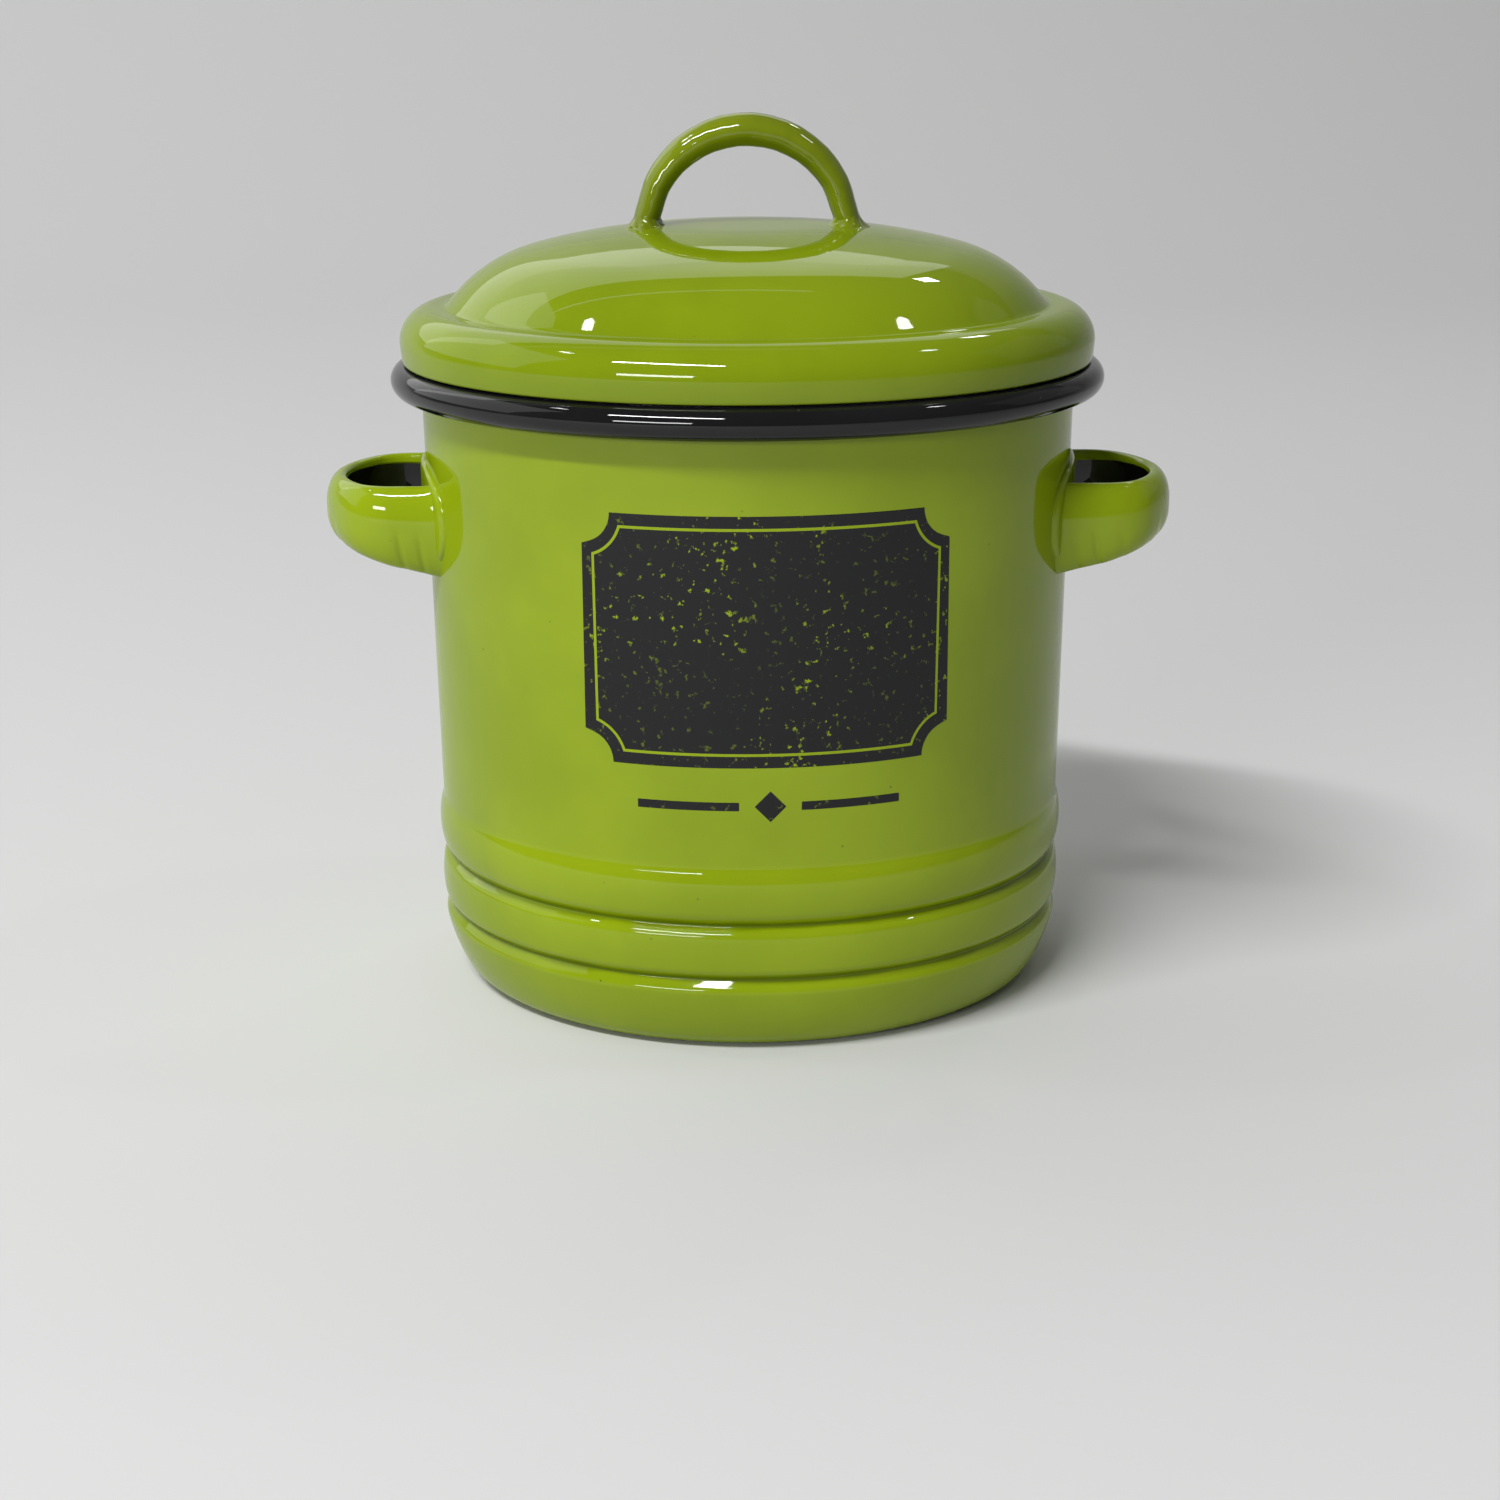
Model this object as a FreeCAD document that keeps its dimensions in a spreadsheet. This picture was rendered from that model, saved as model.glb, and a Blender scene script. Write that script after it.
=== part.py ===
import FreeCAD, Part
import math
import os
import re

import Sketcher

# Bacon grease container: an enamelled steel pot with two side handles, a black rim,
# a lift-out strainer and a domed lid with an arched handle.
# Millimetres, +Z up, origin at the middle of the base, side handles along X.

SIZES = {
    # drawn pot, from the foot up
    "wall_thickness": 1.2,
    "wall_top_radius": 67.0,
    "wall_taper": 2.0,
    "wall_top_height": 125.8,
    "corner_width": 9.7,
    "corner_low_bend": 7.2,
    "corner_degrees": 62.0,
    "corner_high_bend": 31.6,
    "corner_height": 13.6,
    "lower_groove_under": 2.0,
    "lower_groove_over": 2.0,
    "lower_groove_depth": 0.6,
    "lower_rib_height": 7.6,
    "lower_rib_bend": 20.6,
    "upper_groove_under": 1.4,
    "upper_groove_over": 2.6,
    "upper_groove_depth": 0.8,
    "upper_rib_height": 9.4,
    "upper_rib_bend": 15.8,
    "rib_edge_proud": 0.15,
    # black rim round the mouth
    "rim_bead_radius": 3.15,
    "rim_crest_width": 1.05,
    "rim_tail_rise": 1.6,
    "rim_tail_bend": 3.6,
    # side handles and their wall plates
    "strap_drop": 23.65,
    "strap_height": 17.3,
    "strap_projection": 20.5,
    "strap_half_width": 24.0,
    "strap_nose_bend": 34.0,
    "strap_corner_bend": 12.0,
    "strap_thickness": 4.5,
    "strap_low_rise": 5.0,
    "strap_edge_round": 2.0,
    "plate_thickness": 1.5,
    "plate_side_margin": 5.0,
    "plate_low_margin": 0.6,
    "plate_high_margin": 4.7,
    "plate_top_corner": 5.0,
    "plate_low_corner": 7.0,
    # lid, from the rim in to the crown
    "lid_thickness": 1.1,
    "lid_overhang": 1.06,
    "lid_seat_gap": 0.3,
    "lid_edge_draft": 0.35,
    "lid_roll_bend": 6.86,
    "lid_land_rise": 11.3,
    "lid_land_width": 1.86,
    "lid_valley_bend": 1.5,
    "lid_shoulder_degrees": 48.0,
    "lid_shoulder_bend": 30.0,
    "lid_crown_degrees": 15.0,
    "lid_crown_bend": 127.0,
    "lid_crown_rise": 15.75,
    "skirt_gap": 0.4,
    "skirt_thickness": 0.8,
    "skirt_depth": 5.95,
    # lid handle
    "arch_foot_half_width": 20.8,
    "arch_rise": 19.3,
    "arch_top_bend": 24.0,
    "arch_shoulder_half_width": 15.4,
    "arch_corner_bend": 9.5,
    "arch_section_width": 6.2,
    "arch_section_depth": 9.0,
    "arch_foot_depth": 4.0,
    "weld_spread": 2.4,
    "weld_rise": 3.0,
    # strainer
    "strainer_thickness": 0.7,
    "strainer_gap": 0.6,
    "strainer_flange_width": 2.2,
    "strainer_neck_depth": 8.95,
    "strainer_depth": 16.95,
    "strainer_ledge_step": 3.2,
    "strainer_ledge_width": 4.0,
    "mesh_thickness": 0.6,
    "mesh_gap": 0.5,
    "mesh_depth": 8.7,
    "mesh_side_run": 7.5,
    "hole_diameter": 2.8,
    "hole_pitch": 6.4,
}
HOLE_RINGS = 7
HOLES_PER_RING_STEP = 6
FULL_TURN = 360.0
SMALL = 0.001

doc = FreeCAD.newDocument("grease_container")
sheet = doc.addObject("Spreadsheet::Sheet", "Sizes")


def fill_sheet():
    """Put every driving size in its own named cell."""
    for row, (name, size) in enumerate(SIZES.items(), start=1):
        sheet.set("A%d" % row, name)
        sheet.set("B%d" % row, str(size))
        sheet.setAlias("B%d" % row, name)
    doc.recompute()


def sized(text):
    """Turn plain size names into references to the sheet's cells."""
    def refer(match):
        word = match.group(0)
        return "Sizes." + word if word in SIZES else word
    return re.sub(r"[a-z_]+", refer, text)


def value(text):
    """Work out a formula of size names as a number."""
    result = sheet.evalExpression(sized(text))
    return float(getattr(result, "Value", result))


def bind(thing, prop, text):
    """Tie a property to a formula of size names."""
    thing.setExpression(prop, sized(text))


def new_body(label):
    body = doc.addObject("PartDesign::Body", label)
    body.Label = label
    return body


def origin_part(body, role):
    """One of the body's own planes or axes, found by its role."""
    for feature in body.Origin.OriginFeatures:
        if feature.Role == role:
            return feature
    raise ValueError("no origin part " + role)


def new_sketch(body, name, role, height=None):
    """A sketch on one of the body's own planes, raised to a height if one is given."""
    sketch = body.newObject("Sketcher::SketchObject", name)
    sketch.AttachmentSupport = [(origin_part(body, role), "")]
    sketch.MapMode = "FlatFace"
    if height is not None:
        bind(sketch, "AttachmentOffset.Base.z", height)
    doc.recompute()
    return sketch


def fix_distance(sketch, kind, geometry, place, text):
    """Hold one coordinate of a point at the value of a formula."""
    axis = -2 if kind == "DistanceX" else -1
    if text == "0":
        sketch.addConstraint(Sketcher.Constraint("PointOnObject", geometry, place, axis))
        return
    size = value(text)
    if size < 0:
        rule = Sketcher.Constraint(kind, geometry, place, -1, 1, -size)
        text = "-(%s)" % text
    else:
        rule = Sketcher.Constraint(kind, -1, 1, geometry, place, size)
    index = sketch.addConstraint(rule)
    bind(sketch, "Constraints[%d]" % index, text)


def fix_point(sketch, geometry, place, across, up):
    fix_distance(sketch, "DistanceX", geometry, place, across)
    fix_distance(sketch, "DistanceY", geometry, place, up)


def fix_radius(sketch, geometry, text):
    index = sketch.addConstraint(Sketcher.Constraint("Radius", geometry, value(text)))
    bind(sketch, "Constraints[%d]" % index, text)


def join(sketch, first, first_place, second, second_place):
    rule = Sketcher.Constraint("Coincident", first, first_place, second, second_place)
    sketch.addConstraint(rule)


def arc_between(start, end, radius, turn):
    """The short arc from start to end; turn is 1 anticlockwise and -1 clockwise."""
    chord = end - start
    half = chord.Length / 2.0
    rise = math.sqrt(max(radius * radius - half * half, 0.0))
    left = FreeCAD.Vector(-chord.y, chord.x, 0).normalize()
    centre = start + chord * 0.5 + left * rise * turn
    circle = Part.Circle(centre, FreeCAD.Vector(0, 0, 1), radius)
    first, last = (start, end) if turn > 0 else (end, start)
    from_angle = math.atan2(first.y - centre.y, first.x - centre.x)
    to_angle = math.atan2(last.y - centre.y, last.x - centre.x)
    return Part.ArcOfCircle(circle, from_angle, to_angle)


def draw_outline(sketch, steps):
    """A closed outline of straight and round steps, each ending at a bound point.

    A step is (across, up) for a straight run, or (across, up, bend, turn) for an arc.
    """
    points = [FreeCAD.Vector(value(step[0]), value(step[1]), 0) for step in steps]
    ends = []
    for number, step in enumerate(steps):
        start = points[number - 1]
        end = points[number]
        if len(step) == 2:
            geometry = sketch.addGeometry(Part.LineSegment(start, end))
            ends.append((geometry, 1, 2))
            continue
        geometry = sketch.addGeometry(arc_between(start, end, value(step[2]), step[3]))
        ends.append((geometry, 1, 2) if step[3] > 0 else (geometry, 2, 1))
    for number, step in enumerate(steps):
        geometry, first, last = ends[number]
        before = ends[number - 1]
        join(sketch, before[0], before[2], geometry, first)
        fix_point(sketch, geometry, last, step[0], step[1])
        if len(step) > 2:
            fix_radius(sketch, geometry, step[2])
    doc.recompute()


def spin(body, sketch, kind="PartDesign::Revolution", angle=FULL_TURN, midplane=False):
    """Turn a sketch about the upright axis, as a solid or as a cut."""
    feature = body.newObject(kind, sketch.Name + "_turned")
    feature.Profile = sketch
    feature.ReferenceAxis = (sketch, ["V_Axis"])
    feature.Angle = angle
    feature.Midplane = midplane
    doc.recompute()
    return feature


def must_change(body, before, what):
    if abs(body.Shape.Volume - before) < SMALL:
        raise ValueError(what + " changed nothing on " + body.Label)


LOWER_GROOVE = "(corner_height + lower_groove_under)"
LOWER_RIB = "(%s + lower_groove_over)" % LOWER_GROOVE
LOWER_RIB_END = "(%s + lower_rib_height)" % LOWER_RIB
UPPER_GROOVE = "(%s + upper_groove_under)" % LOWER_RIB_END
UPPER_RIB = "(%s + upper_groove_over)" % UPPER_GROOVE
WALL_LOW = "(%s + upper_rib_height)" % UPPER_RIB
WALL_LOW_RADIUS = "(wall_top_radius - wall_taper)"
RIM_TOP = "(wall_top_height + rim_bead_radius)"
RIM_INSIDE = "(wall_top_radius - wall_thickness)"
RIM_CREST = "(%s + rim_bead_radius)" % RIM_INSIDE


def wall_radius(height, offset=""):
    """The pot wall's outside radius at a height, as a formula."""
    taper = "wall_taper / (wall_top_height - %s)" % WALL_LOW
    return "%s + (%s - %s) * %s%s" % (WALL_LOW_RADIUS, height, WALL_LOW, taper, offset)


def pot_side(inset):
    """The pot's outline from the base up to the mouth, set in by a formula."""
    side = "%s - %s" % (WALL_LOW_RADIUS, inset)
    flat = "%s - corner_width" % WALL_LOW_RADIUS
    low_bend = "corner_low_bend - %s" % inset
    edge = "%s + rib_edge_proud" % side
    return [
        (flat, inset),
        ("%s + (%s) * sin(corner_degrees)" % (flat, low_bend),
         "corner_low_bend - (%s) * cos(corner_degrees)" % low_bend, low_bend, 1),
        (edge, "corner_height", "corner_high_bend - %s" % inset, 1),
        ("%s - lower_groove_depth" % side, LOWER_GROOVE),
        (edge, LOWER_RIB),
        (edge, LOWER_RIB_END, "lower_rib_bend", 1),
        ("%s - upper_groove_depth" % side, UPPER_GROOVE),
        (edge, UPPER_RIB),
        (side, WALL_LOW, "upper_rib_bend", 1),
        ("wall_top_radius - %s" % inset, "wall_top_height"),
    ]


def reversed_steps(steps):
    """The same run walked backwards: each bend moves on to the point before it."""
    turned = []
    for number in range(len(steps) - 1, 0, -1):
        bend = steps[number][2:]
        place = steps[number - 1][:2]
        turned.append(place + ((bend[0], -bend[1]) if bend else ()))
    return turned


def make_pot_body():
    body = new_body("pot_body")
    sketch = new_sketch(body, "pot_profile", "XZ_Plane")
    outside = pot_side("0")
    inside = pot_side("wall_thickness")
    outline = [("0", "0")]
    outline.append((outside[0][0], "0"))
    outline += outside[1:]
    outline.append(inside[-1][:2])
    outline += reversed_steps(inside)
    outline.append(("0", "wall_thickness"))
    draw_outline(sketch, outline)
    spin(body, sketch)
    return body


def make_rim_bead():
    """The black ring that closes the raw edge of the mouth."""
    body = new_body("rim_bead")
    sketch = new_sketch(body, "rim_profile", "XZ_Plane")
    outer_centre = "%s + rim_crest_width" % RIM_CREST
    tail_height = "(wall_top_height - rim_tail_rise)"
    draw_outline(sketch, [
        ("wall_top_radius", "wall_top_height"),
        (wall_radius(tail_height), tail_height),
        (outer_centre, "wall_top_height - rim_bead_radius", "rim_tail_bend", 1),
        ("%s + rim_bead_radius" % outer_centre, "wall_top_height", "rim_bead_radius", 1),
        (outer_centre, RIM_TOP, "rim_bead_radius", 1),
        (RIM_CREST, RIM_TOP),
        (RIM_INSIDE, "wall_top_height", "rim_bead_radius", 1),
    ])
    spin(body, sketch)
    return body


def edges_where(shape, test):
    """The names of the edges whose middle and direction pass a test."""
    names = []
    for number, edge in enumerate(shape.Edges, start=1):
        if test(edge):
            names.append("Edge%d" % number)
    return names


def soften(body, kind, size_property, size, names):
    """Fillet or chamfer the named edges of the body's last feature."""
    before = body.Shape.Volume
    feature = body.newObject(kind, "%s_%s" % (body.Label, kind.split("::")[1].lower()))
    feature.Base = (body.Tip if body.Tip is not feature else feature.BaseFeature, names)
    bind(feature, size_property, size)
    doc.recompute()
    must_change(body, before, kind)
    return feature


STRAP_HIGH = "(%s - strap_drop)" % RIM_TOP
STRAP_LOW = "(%s - strap_height)" % STRAP_HIGH
STRAP_REACH = "(wall_top_radius + strap_projection)"
PLATE_HIGH = "(%s + plate_high_margin)" % STRAP_HIGH
PLATE_LOW = "(%s - plate_low_margin)" % STRAP_LOW
EDGE_TOLERANCE = 0.5
SEAT_TOLERANCE = 0.05
EDGE_PLACES = (0.1, 0.5, 0.9)


def plate_corner_edges(shape, height):
    """The short edges that run through the plate at its corners at a height."""
    thick = value("plate_thickness")

    def test(edge):
        middle = edge.valueAt((edge.FirstParameter + edge.LastParameter) / 2)
        short = abs(edge.Length - thick) < EDGE_TOLERANCE
        return short and abs(middle.z - value(height)) < EDGE_TOLERANCE
    return edges_where(shape, test)


def make_plate(side, turn):
    """The curved wall plate that a side handle is welded to."""
    body = new_body("handle_%s_plate" % side)
    sketch = new_sketch(body, "plate_section_" + side, "XZ_Plane")
    draw_outline(sketch, [
        (wall_radius(PLATE_LOW), PLATE_LOW),
        (wall_radius(PLATE_LOW, " + plate_thickness"), PLATE_LOW),
        (wall_radius(PLATE_HIGH, " + plate_thickness"), PLATE_HIGH),
        (wall_radius(PLATE_HIGH), PLATE_HIGH),
    ])
    plate = spin(body, sketch, midplane=True)
    reach = "(strap_half_width + plate_side_margin)"
    bind(plate, "Angle", "2 * asin(%s / (%s))" % (reach, wall_radius(PLATE_HIGH)))
    doc.recompute()
    names = plate_corner_edges(body.Shape, PLATE_HIGH)
    soften(body, "PartDesign::Fillet", "Radius", "plate_top_corner", names)
    names = plate_corner_edges(body.Shape, PLATE_LOW)
    soften(body, "PartDesign::Chamfer", "Size", "plate_low_corner", names)
    body.Placement = FreeCAD.Placement(FreeCAD.Vector(), FreeCAD.Rotation(turn, 0, 0))
    return body


def strap_outline(inset):
    """The strap's outline from above, set in by a formula, without its inner end."""
    nose = "(strap_nose_bend - %s)" % inset
    corner = "(strap_corner_bend - %s)" % inset
    half = "(strap_half_width - %s)" % inset
    nose_centre = "(%s - strap_nose_bend)" % STRAP_REACH
    corner_up = "(strap_half_width - strap_corner_bend)"
    apart = "(strap_nose_bend - strap_corner_bend)"
    corner_out = "sqrt(%s * %s - %s * %s)" % (apart, apart, corner_up, corner_up)
    touch_out = "%s + %s * %s / %s" % (nose_centre, corner_out, nose, apart)
    touch_up = "%s * %s / %s" % (corner_up, nose, apart)
    corner_centre = "%s + %s" % (nose_centre, corner_out)
    return [
        (corner_centre, "-" + half),
        (touch_out, "-%s" % touch_up, corner, 1),
        (touch_out, touch_up, nose, 1),
        (corner_centre, half, corner, 1),
    ]


def underside_height(across):
    """The height of the strap's sloping underside at a distance from the axis."""
    slope = "strap_low_rise / (%s - %s)" % (STRAP_REACH, WALL_LOW_RADIUS)
    return "%s + (%s - %s) * %s" % (STRAP_LOW, across, WALL_LOW_RADIUS, slope)


def make_strap(side, turn):
    """The rounded strap loop of a side handle, cut to the wall plate."""
    body = new_body("handle_" + side)
    root = "(wall_top_radius / 2)"
    below = "(%s / 2)" % STRAP_LOW
    plan = new_sketch(body, "strap_plan_" + side, "XY_Plane", below)
    outside = strap_outline("0")
    draw_outline(plan, [(root, outside[0][1])] + outside + [(root, outside[-1][1])])
    inside = strap_outline("strap_thickness")
    pad = body.newObject("PartDesign::Pad", "strap_pad_" + side)
    pad.Profile = plan
    bind(pad, "Length", "%s - %s" % (STRAP_HIGH, below))
    doc.recompute()
    gap = new_sketch(body, "strap_gap_" + side, "XY_Plane", STRAP_HIGH)
    draw_outline(gap, [("0", inside[0][1])] + inside + [("0", inside[-1][1])])
    before = body.Shape.Volume
    hole = body.newObject("PartDesign::Pocket", "strap_hole_" + side)
    hole.Profile = gap
    hole.Type = "ThroughAll"
    doc.recompute()
    must_change(body, before, "finger gap")

    slope = new_sketch(body, "strap_slope_" + side, "XZ_Plane")
    far = "(%s + strap_thickness)" % STRAP_REACH
    draw_outline(slope, [
        ("0", below),
        (far, below),
        (far, underside_height(far)),
        ("0", underside_height("0")),
    ])
    before = body.Shape.Volume
    cut = body.newObject("PartDesign::Pocket", "strap_under_cut_" + side)
    cut.Profile = slope
    cut.Type = "ThroughAll"
    cut.Midplane = True
    doc.recompute()
    must_change(body, before, "sloping underside")

    seat = new_sketch(body, "strap_seat_" + side, "XZ_Plane")
    high = "(%s + strap_low_rise)" % STRAP_HIGH
    draw_outline(seat, [
        ("0", below),
        (wall_radius(below, " + plate_thickness"), below),
        (wall_radius(high, " + plate_thickness"), high),
        ("0", high),
    ])
    before = body.Shape.Volume
    spin(body, seat, "PartDesign::Groove")
    must_change(body, before, "seat on the plate")
    names = edges_where(body.Shape, strap_rim_edge)
    soften(body, "PartDesign::Fillet", "Radius", "strap_edge_round", names)
    body.Placement = FreeCAD.Placement(FreeCAD.Vector(), FreeCAD.Rotation(turn, 0, 0))
    return body


def strap_rim_edge(edge):
    """True for the long edges along the top and the underside of a strap."""
    seat = value("plate_thickness")
    on_seat = True
    for place in EDGE_PLACES:
        first, last = edge.FirstParameter, edge.LastParameter
        point = edge.valueAt(first + (last - first) * place)
        radius = math.hypot(point.x, point.y)
        wall = value(wall_radius(str(point.z)))
        if abs(radius - wall - seat) > SEAT_TOLERANCE:
            on_seat = False
    if on_seat:
        return False
    first, last = edge.valueAt(edge.FirstParameter), edge.valueAt(edge.LastParameter)
    across = math.hypot(last.x - first.x, last.y - first.y)
    return across > SMALL or abs(last.z - first.z) < SMALL


LID_RIM = "(%s + rim_crest_width + lid_overhang)" % RIM_CREST
LID_LAND = "(%s + lid_land_rise)" % RIM_TOP
LID_TOP = "(%s + lid_crown_rise)" % LID_LAND
ROLL_CENTRE = "(%s - lid_roll_bend)" % LID_RIM
VALLEY_CENTRE = "(%s - lid_land_width)" % ROLL_CENTRE


def lid_flat_radius():
    """What is left for the flat crown once the round and sloping parts have their run."""
    crown, steep = "lid_crown_degrees", "lid_shoulder_degrees"
    round_drop = ("(lid_crown_bend * (1 - cos(%s)) + lid_shoulder_bend * (cos(%s) - cos(%s)))"
                  % (crown, crown, steep))
    slope_run = "(lid_crown_rise - %s) / tan(%s)" % (round_drop, steep)
    round_run = ("lid_crown_bend * sin(%s) + lid_shoulder_bend * (sin(%s) - sin(%s))"
                 % (crown, steep, crown))
    corner = "%s - lid_valley_bend * tan(%s / 2)" % (VALLEY_CENTRE, steep)
    return "(%s - %s - (%s))" % (corner, slope_run, round_run)


def lid_side(inset):
    """The lid's outline from the middle out to its edge, set down by a formula."""
    crown = "(lid_crown_bend - %s)" % inset
    shoulder = "(lid_shoulder_bend - %s)" % inset
    apart = "(lid_crown_bend - lid_shoulder_bend)"
    turn, steep = "lid_crown_degrees", "lid_shoulder_degrees"
    flat = lid_flat_radius()
    crown_up = "(%s - lid_crown_bend)" % LID_TOP
    shoulder_out = "(%s + %s * sin(%s))" % (flat, apart, turn)
    shoulder_up = "(%s + %s * cos(%s))" % (crown_up, apart, turn)
    valley = "(lid_valley_bend + %s)" % inset
    valley_up = "(%s + lid_valley_bend)" % LID_LAND
    rim = "(%s - %s)" % (LID_RIM, inset)
    edge = "%s + lid_seat_gap + lid_thickness / 2" % RIM_TOP
    return [
        (flat, "%s - %s" % (LID_TOP, inset)),
        ("%s + %s * sin(%s)" % (flat, crown, turn),
         "%s + %s * cos(%s)" % (crown_up, crown, turn), crown, -1),
        ("%s + %s * sin(%s)" % (shoulder_out, shoulder, steep),
         "%s + %s * cos(%s)" % (shoulder_up, shoulder, steep), shoulder, -1),
        ("%s - %s * sin(%s)" % (VALLEY_CENTRE, valley, steep),
         "%s - %s * cos(%s)" % (valley_up, valley, steep)),
        (VALLEY_CENTRE, "%s - %s" % (LID_LAND, inset), valley, 1),
        (ROLL_CENTRE, "%s - %s" % (LID_LAND, inset)),
        (rim, "%s - lid_roll_bend" % LID_LAND, "(lid_roll_bend - %s)" % inset, -1),
        ("%s - lid_edge_draft" % rim, edge),
    ]


def make_lid_shell():
    body = new_body("lid_shell")
    sketch = new_sketch(body, "lid_profile", "XZ_Plane")
    outside = lid_side("0")
    inside = lid_side("lid_thickness")
    outline = [("0", LID_TOP)] + outside
    edge_middle = "%s - lid_thickness / 2" % outside[-1][0]
    edge_low = "%s - lid_thickness / 2" % outside[-1][1]
    outline.append((edge_middle, edge_low, "lid_thickness / 2", -1))
    outline.append(inside[-1][:2] + ("lid_thickness / 2", -1))
    outline += reversed_steps(inside)
    outline.append(("0", "%s - lid_thickness" % LID_TOP))
    draw_outline(sketch, outline)
    spin(body, sketch)
    return body


STRAINER_OUT = "(wall_top_radius - wall_thickness - strainer_gap)"
STRAINER_IN = "(%s - strainer_thickness)" % STRAINER_OUT
SKIRT_LOW = "(%s - skirt_depth)" % RIM_TOP


def make_lid_skirt():
    """The locating ring under the lid that drops inside the strainer's mouth."""
    body = new_body("lid_skirt")
    sketch = new_sketch(body, "skirt_profile", "XZ_Plane")
    outside = "%s - skirt_gap" % STRAINER_IN
    inside = "%s - skirt_thickness" % outside
    top = "%s - lid_thickness" % LID_LAND
    draw_outline(sketch, [
        (inside, SKIRT_LOW),
        (outside, SKIRT_LOW),
        (outside, top),
        (inside, top),
    ])
    spin(body, sketch)
    return body


def under_dome(body, name):
    """A sketch of all that lies below the lid's upper surface."""
    sketch = new_sketch(body, name, "XZ_Plane")
    dome = lid_side("0")[:3]
    draw_outline(sketch, [("0", SKIRT_LOW), (dome[-1][0], SKIRT_LOW), dome[-1][:2]]
                 + reversed_steps(dome) + [("0", LID_TOP)])
    return sketch


def arch_path(body):
    """The arched handle's centre line: two legs, two corners and a crown."""
    sketch = new_sketch(body, "arch_path", "XZ_Plane")
    foot = "%s - arch_foot_depth" % LID_TOP
    centre_up = "%s + arch_rise - arch_top_bend" % LID_TOP
    crown_up = value(centre_up)
    half = value("arch_shoulder_half_width")
    big = value("arch_top_bend")
    small = value("arch_corner_bend")
    rise = math.sqrt(big * big - half * half)
    share = (big - small) / big
    centre = FreeCAD.Vector(half * share, crown_up + rise * share, 0)
    toe = FreeCAD.Vector(value("arch_foot_half_width"), value(foot), 0)
    run = centre - toe
    reach = math.sqrt(run.Length ** 2 - small ** 2)
    lean = math.atan2(run.y, run.x) - math.atan2(small, reach)
    knee = toe + FreeCAD.Vector(math.cos(lean), math.sin(lean), 0) * reach
    shoulder = FreeCAD.Vector(half, crown_up + rise, 0)

    def flip(point):
        return FreeCAD.Vector(-point.x, point.y, 0)

    leg = sketch.addGeometry(Part.LineSegment(toe, knee))
    corner = sketch.addGeometry(arc_between(knee, shoulder, small, 1))
    crown = sketch.addGeometry(arc_between(shoulder, flip(shoulder), big, 1))
    far_corner = sketch.addGeometry(arc_between(flip(shoulder), flip(knee), small, 1))
    far_leg = sketch.addGeometry(Part.LineSegment(flip(knee), flip(toe)))
    runs = [leg, corner, crown, far_corner, far_leg]
    for first, second in zip(runs, runs[1:]):
        sketch.addConstraint(Sketcher.Constraint("Tangent", first, 2, second, 1))
    fix_point(sketch, leg, 1, "arch_foot_half_width", foot)
    fix_point(sketch, far_leg, 2, "-arch_foot_half_width", foot)
    sketch.addConstraint(Sketcher.Constraint("PointOnObject", crown, 3, -2))
    fix_distance(sketch, "DistanceY", crown, 3, centre_up)
    fix_radius(sketch, crown, "arch_top_bend")
    fix_radius(sketch, corner, "arch_corner_bend")
    sketch.addConstraint(Sketcher.Constraint("Equal", corner, far_corner))
    fix_distance(sketch, "DistanceX", crown, 1, "arch_shoulder_half_width")
    fix_distance(sketch, "DistanceX", crown, 2, "-arch_shoulder_half_width")
    doc.recompute()
    return sketch


def make_lid_handle():
    body = new_body("lid_handle")
    path = arch_path(body)
    foot = "%s - arch_foot_depth" % LID_TOP
    section = new_sketch(body, "arch_section", "XY_Plane", foot)
    centre = FreeCAD.Vector(value("arch_foot_half_width"), 0, 0)
    wide = value("arch_section_width / 2")
    deep = value("arch_section_depth / 2")
    end_deep = centre + FreeCAD.Vector(0, deep, 0)
    end_wide = centre + FreeCAD.Vector(wide, 0, 0)
    oval = section.addGeometry(Part.Ellipse(end_deep, end_wide, centre))
    fix_point(section, oval, 3, "arch_foot_half_width", "0")
    section.exposeInternalGeometry(oval)
    major, minor = oval + 1, oval + 2
    section.addConstraint(Sketcher.Constraint("Vertical", major))
    for line, size in ((major, "arch_section_depth"), (minor, "arch_section_width")):
        index = section.addConstraint(Sketcher.Constraint("Distance", line, value(size)))
        bind(section, "Constraints[%d]" % index, size)
    doc.recompute()
    pipe = body.newObject("PartDesign::AdditivePipe", "arch")
    pipe.Profile = section
    pipe.Spine = (path, [])
    pipe.Mode = "Standard"
    doc.recompute()
    before = body.Shape.Volume
    spin(body, under_dome(body, "arch_foot_cut"), "PartDesign::Groove")
    must_change(body, before, "dome cut")
    return body


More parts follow.
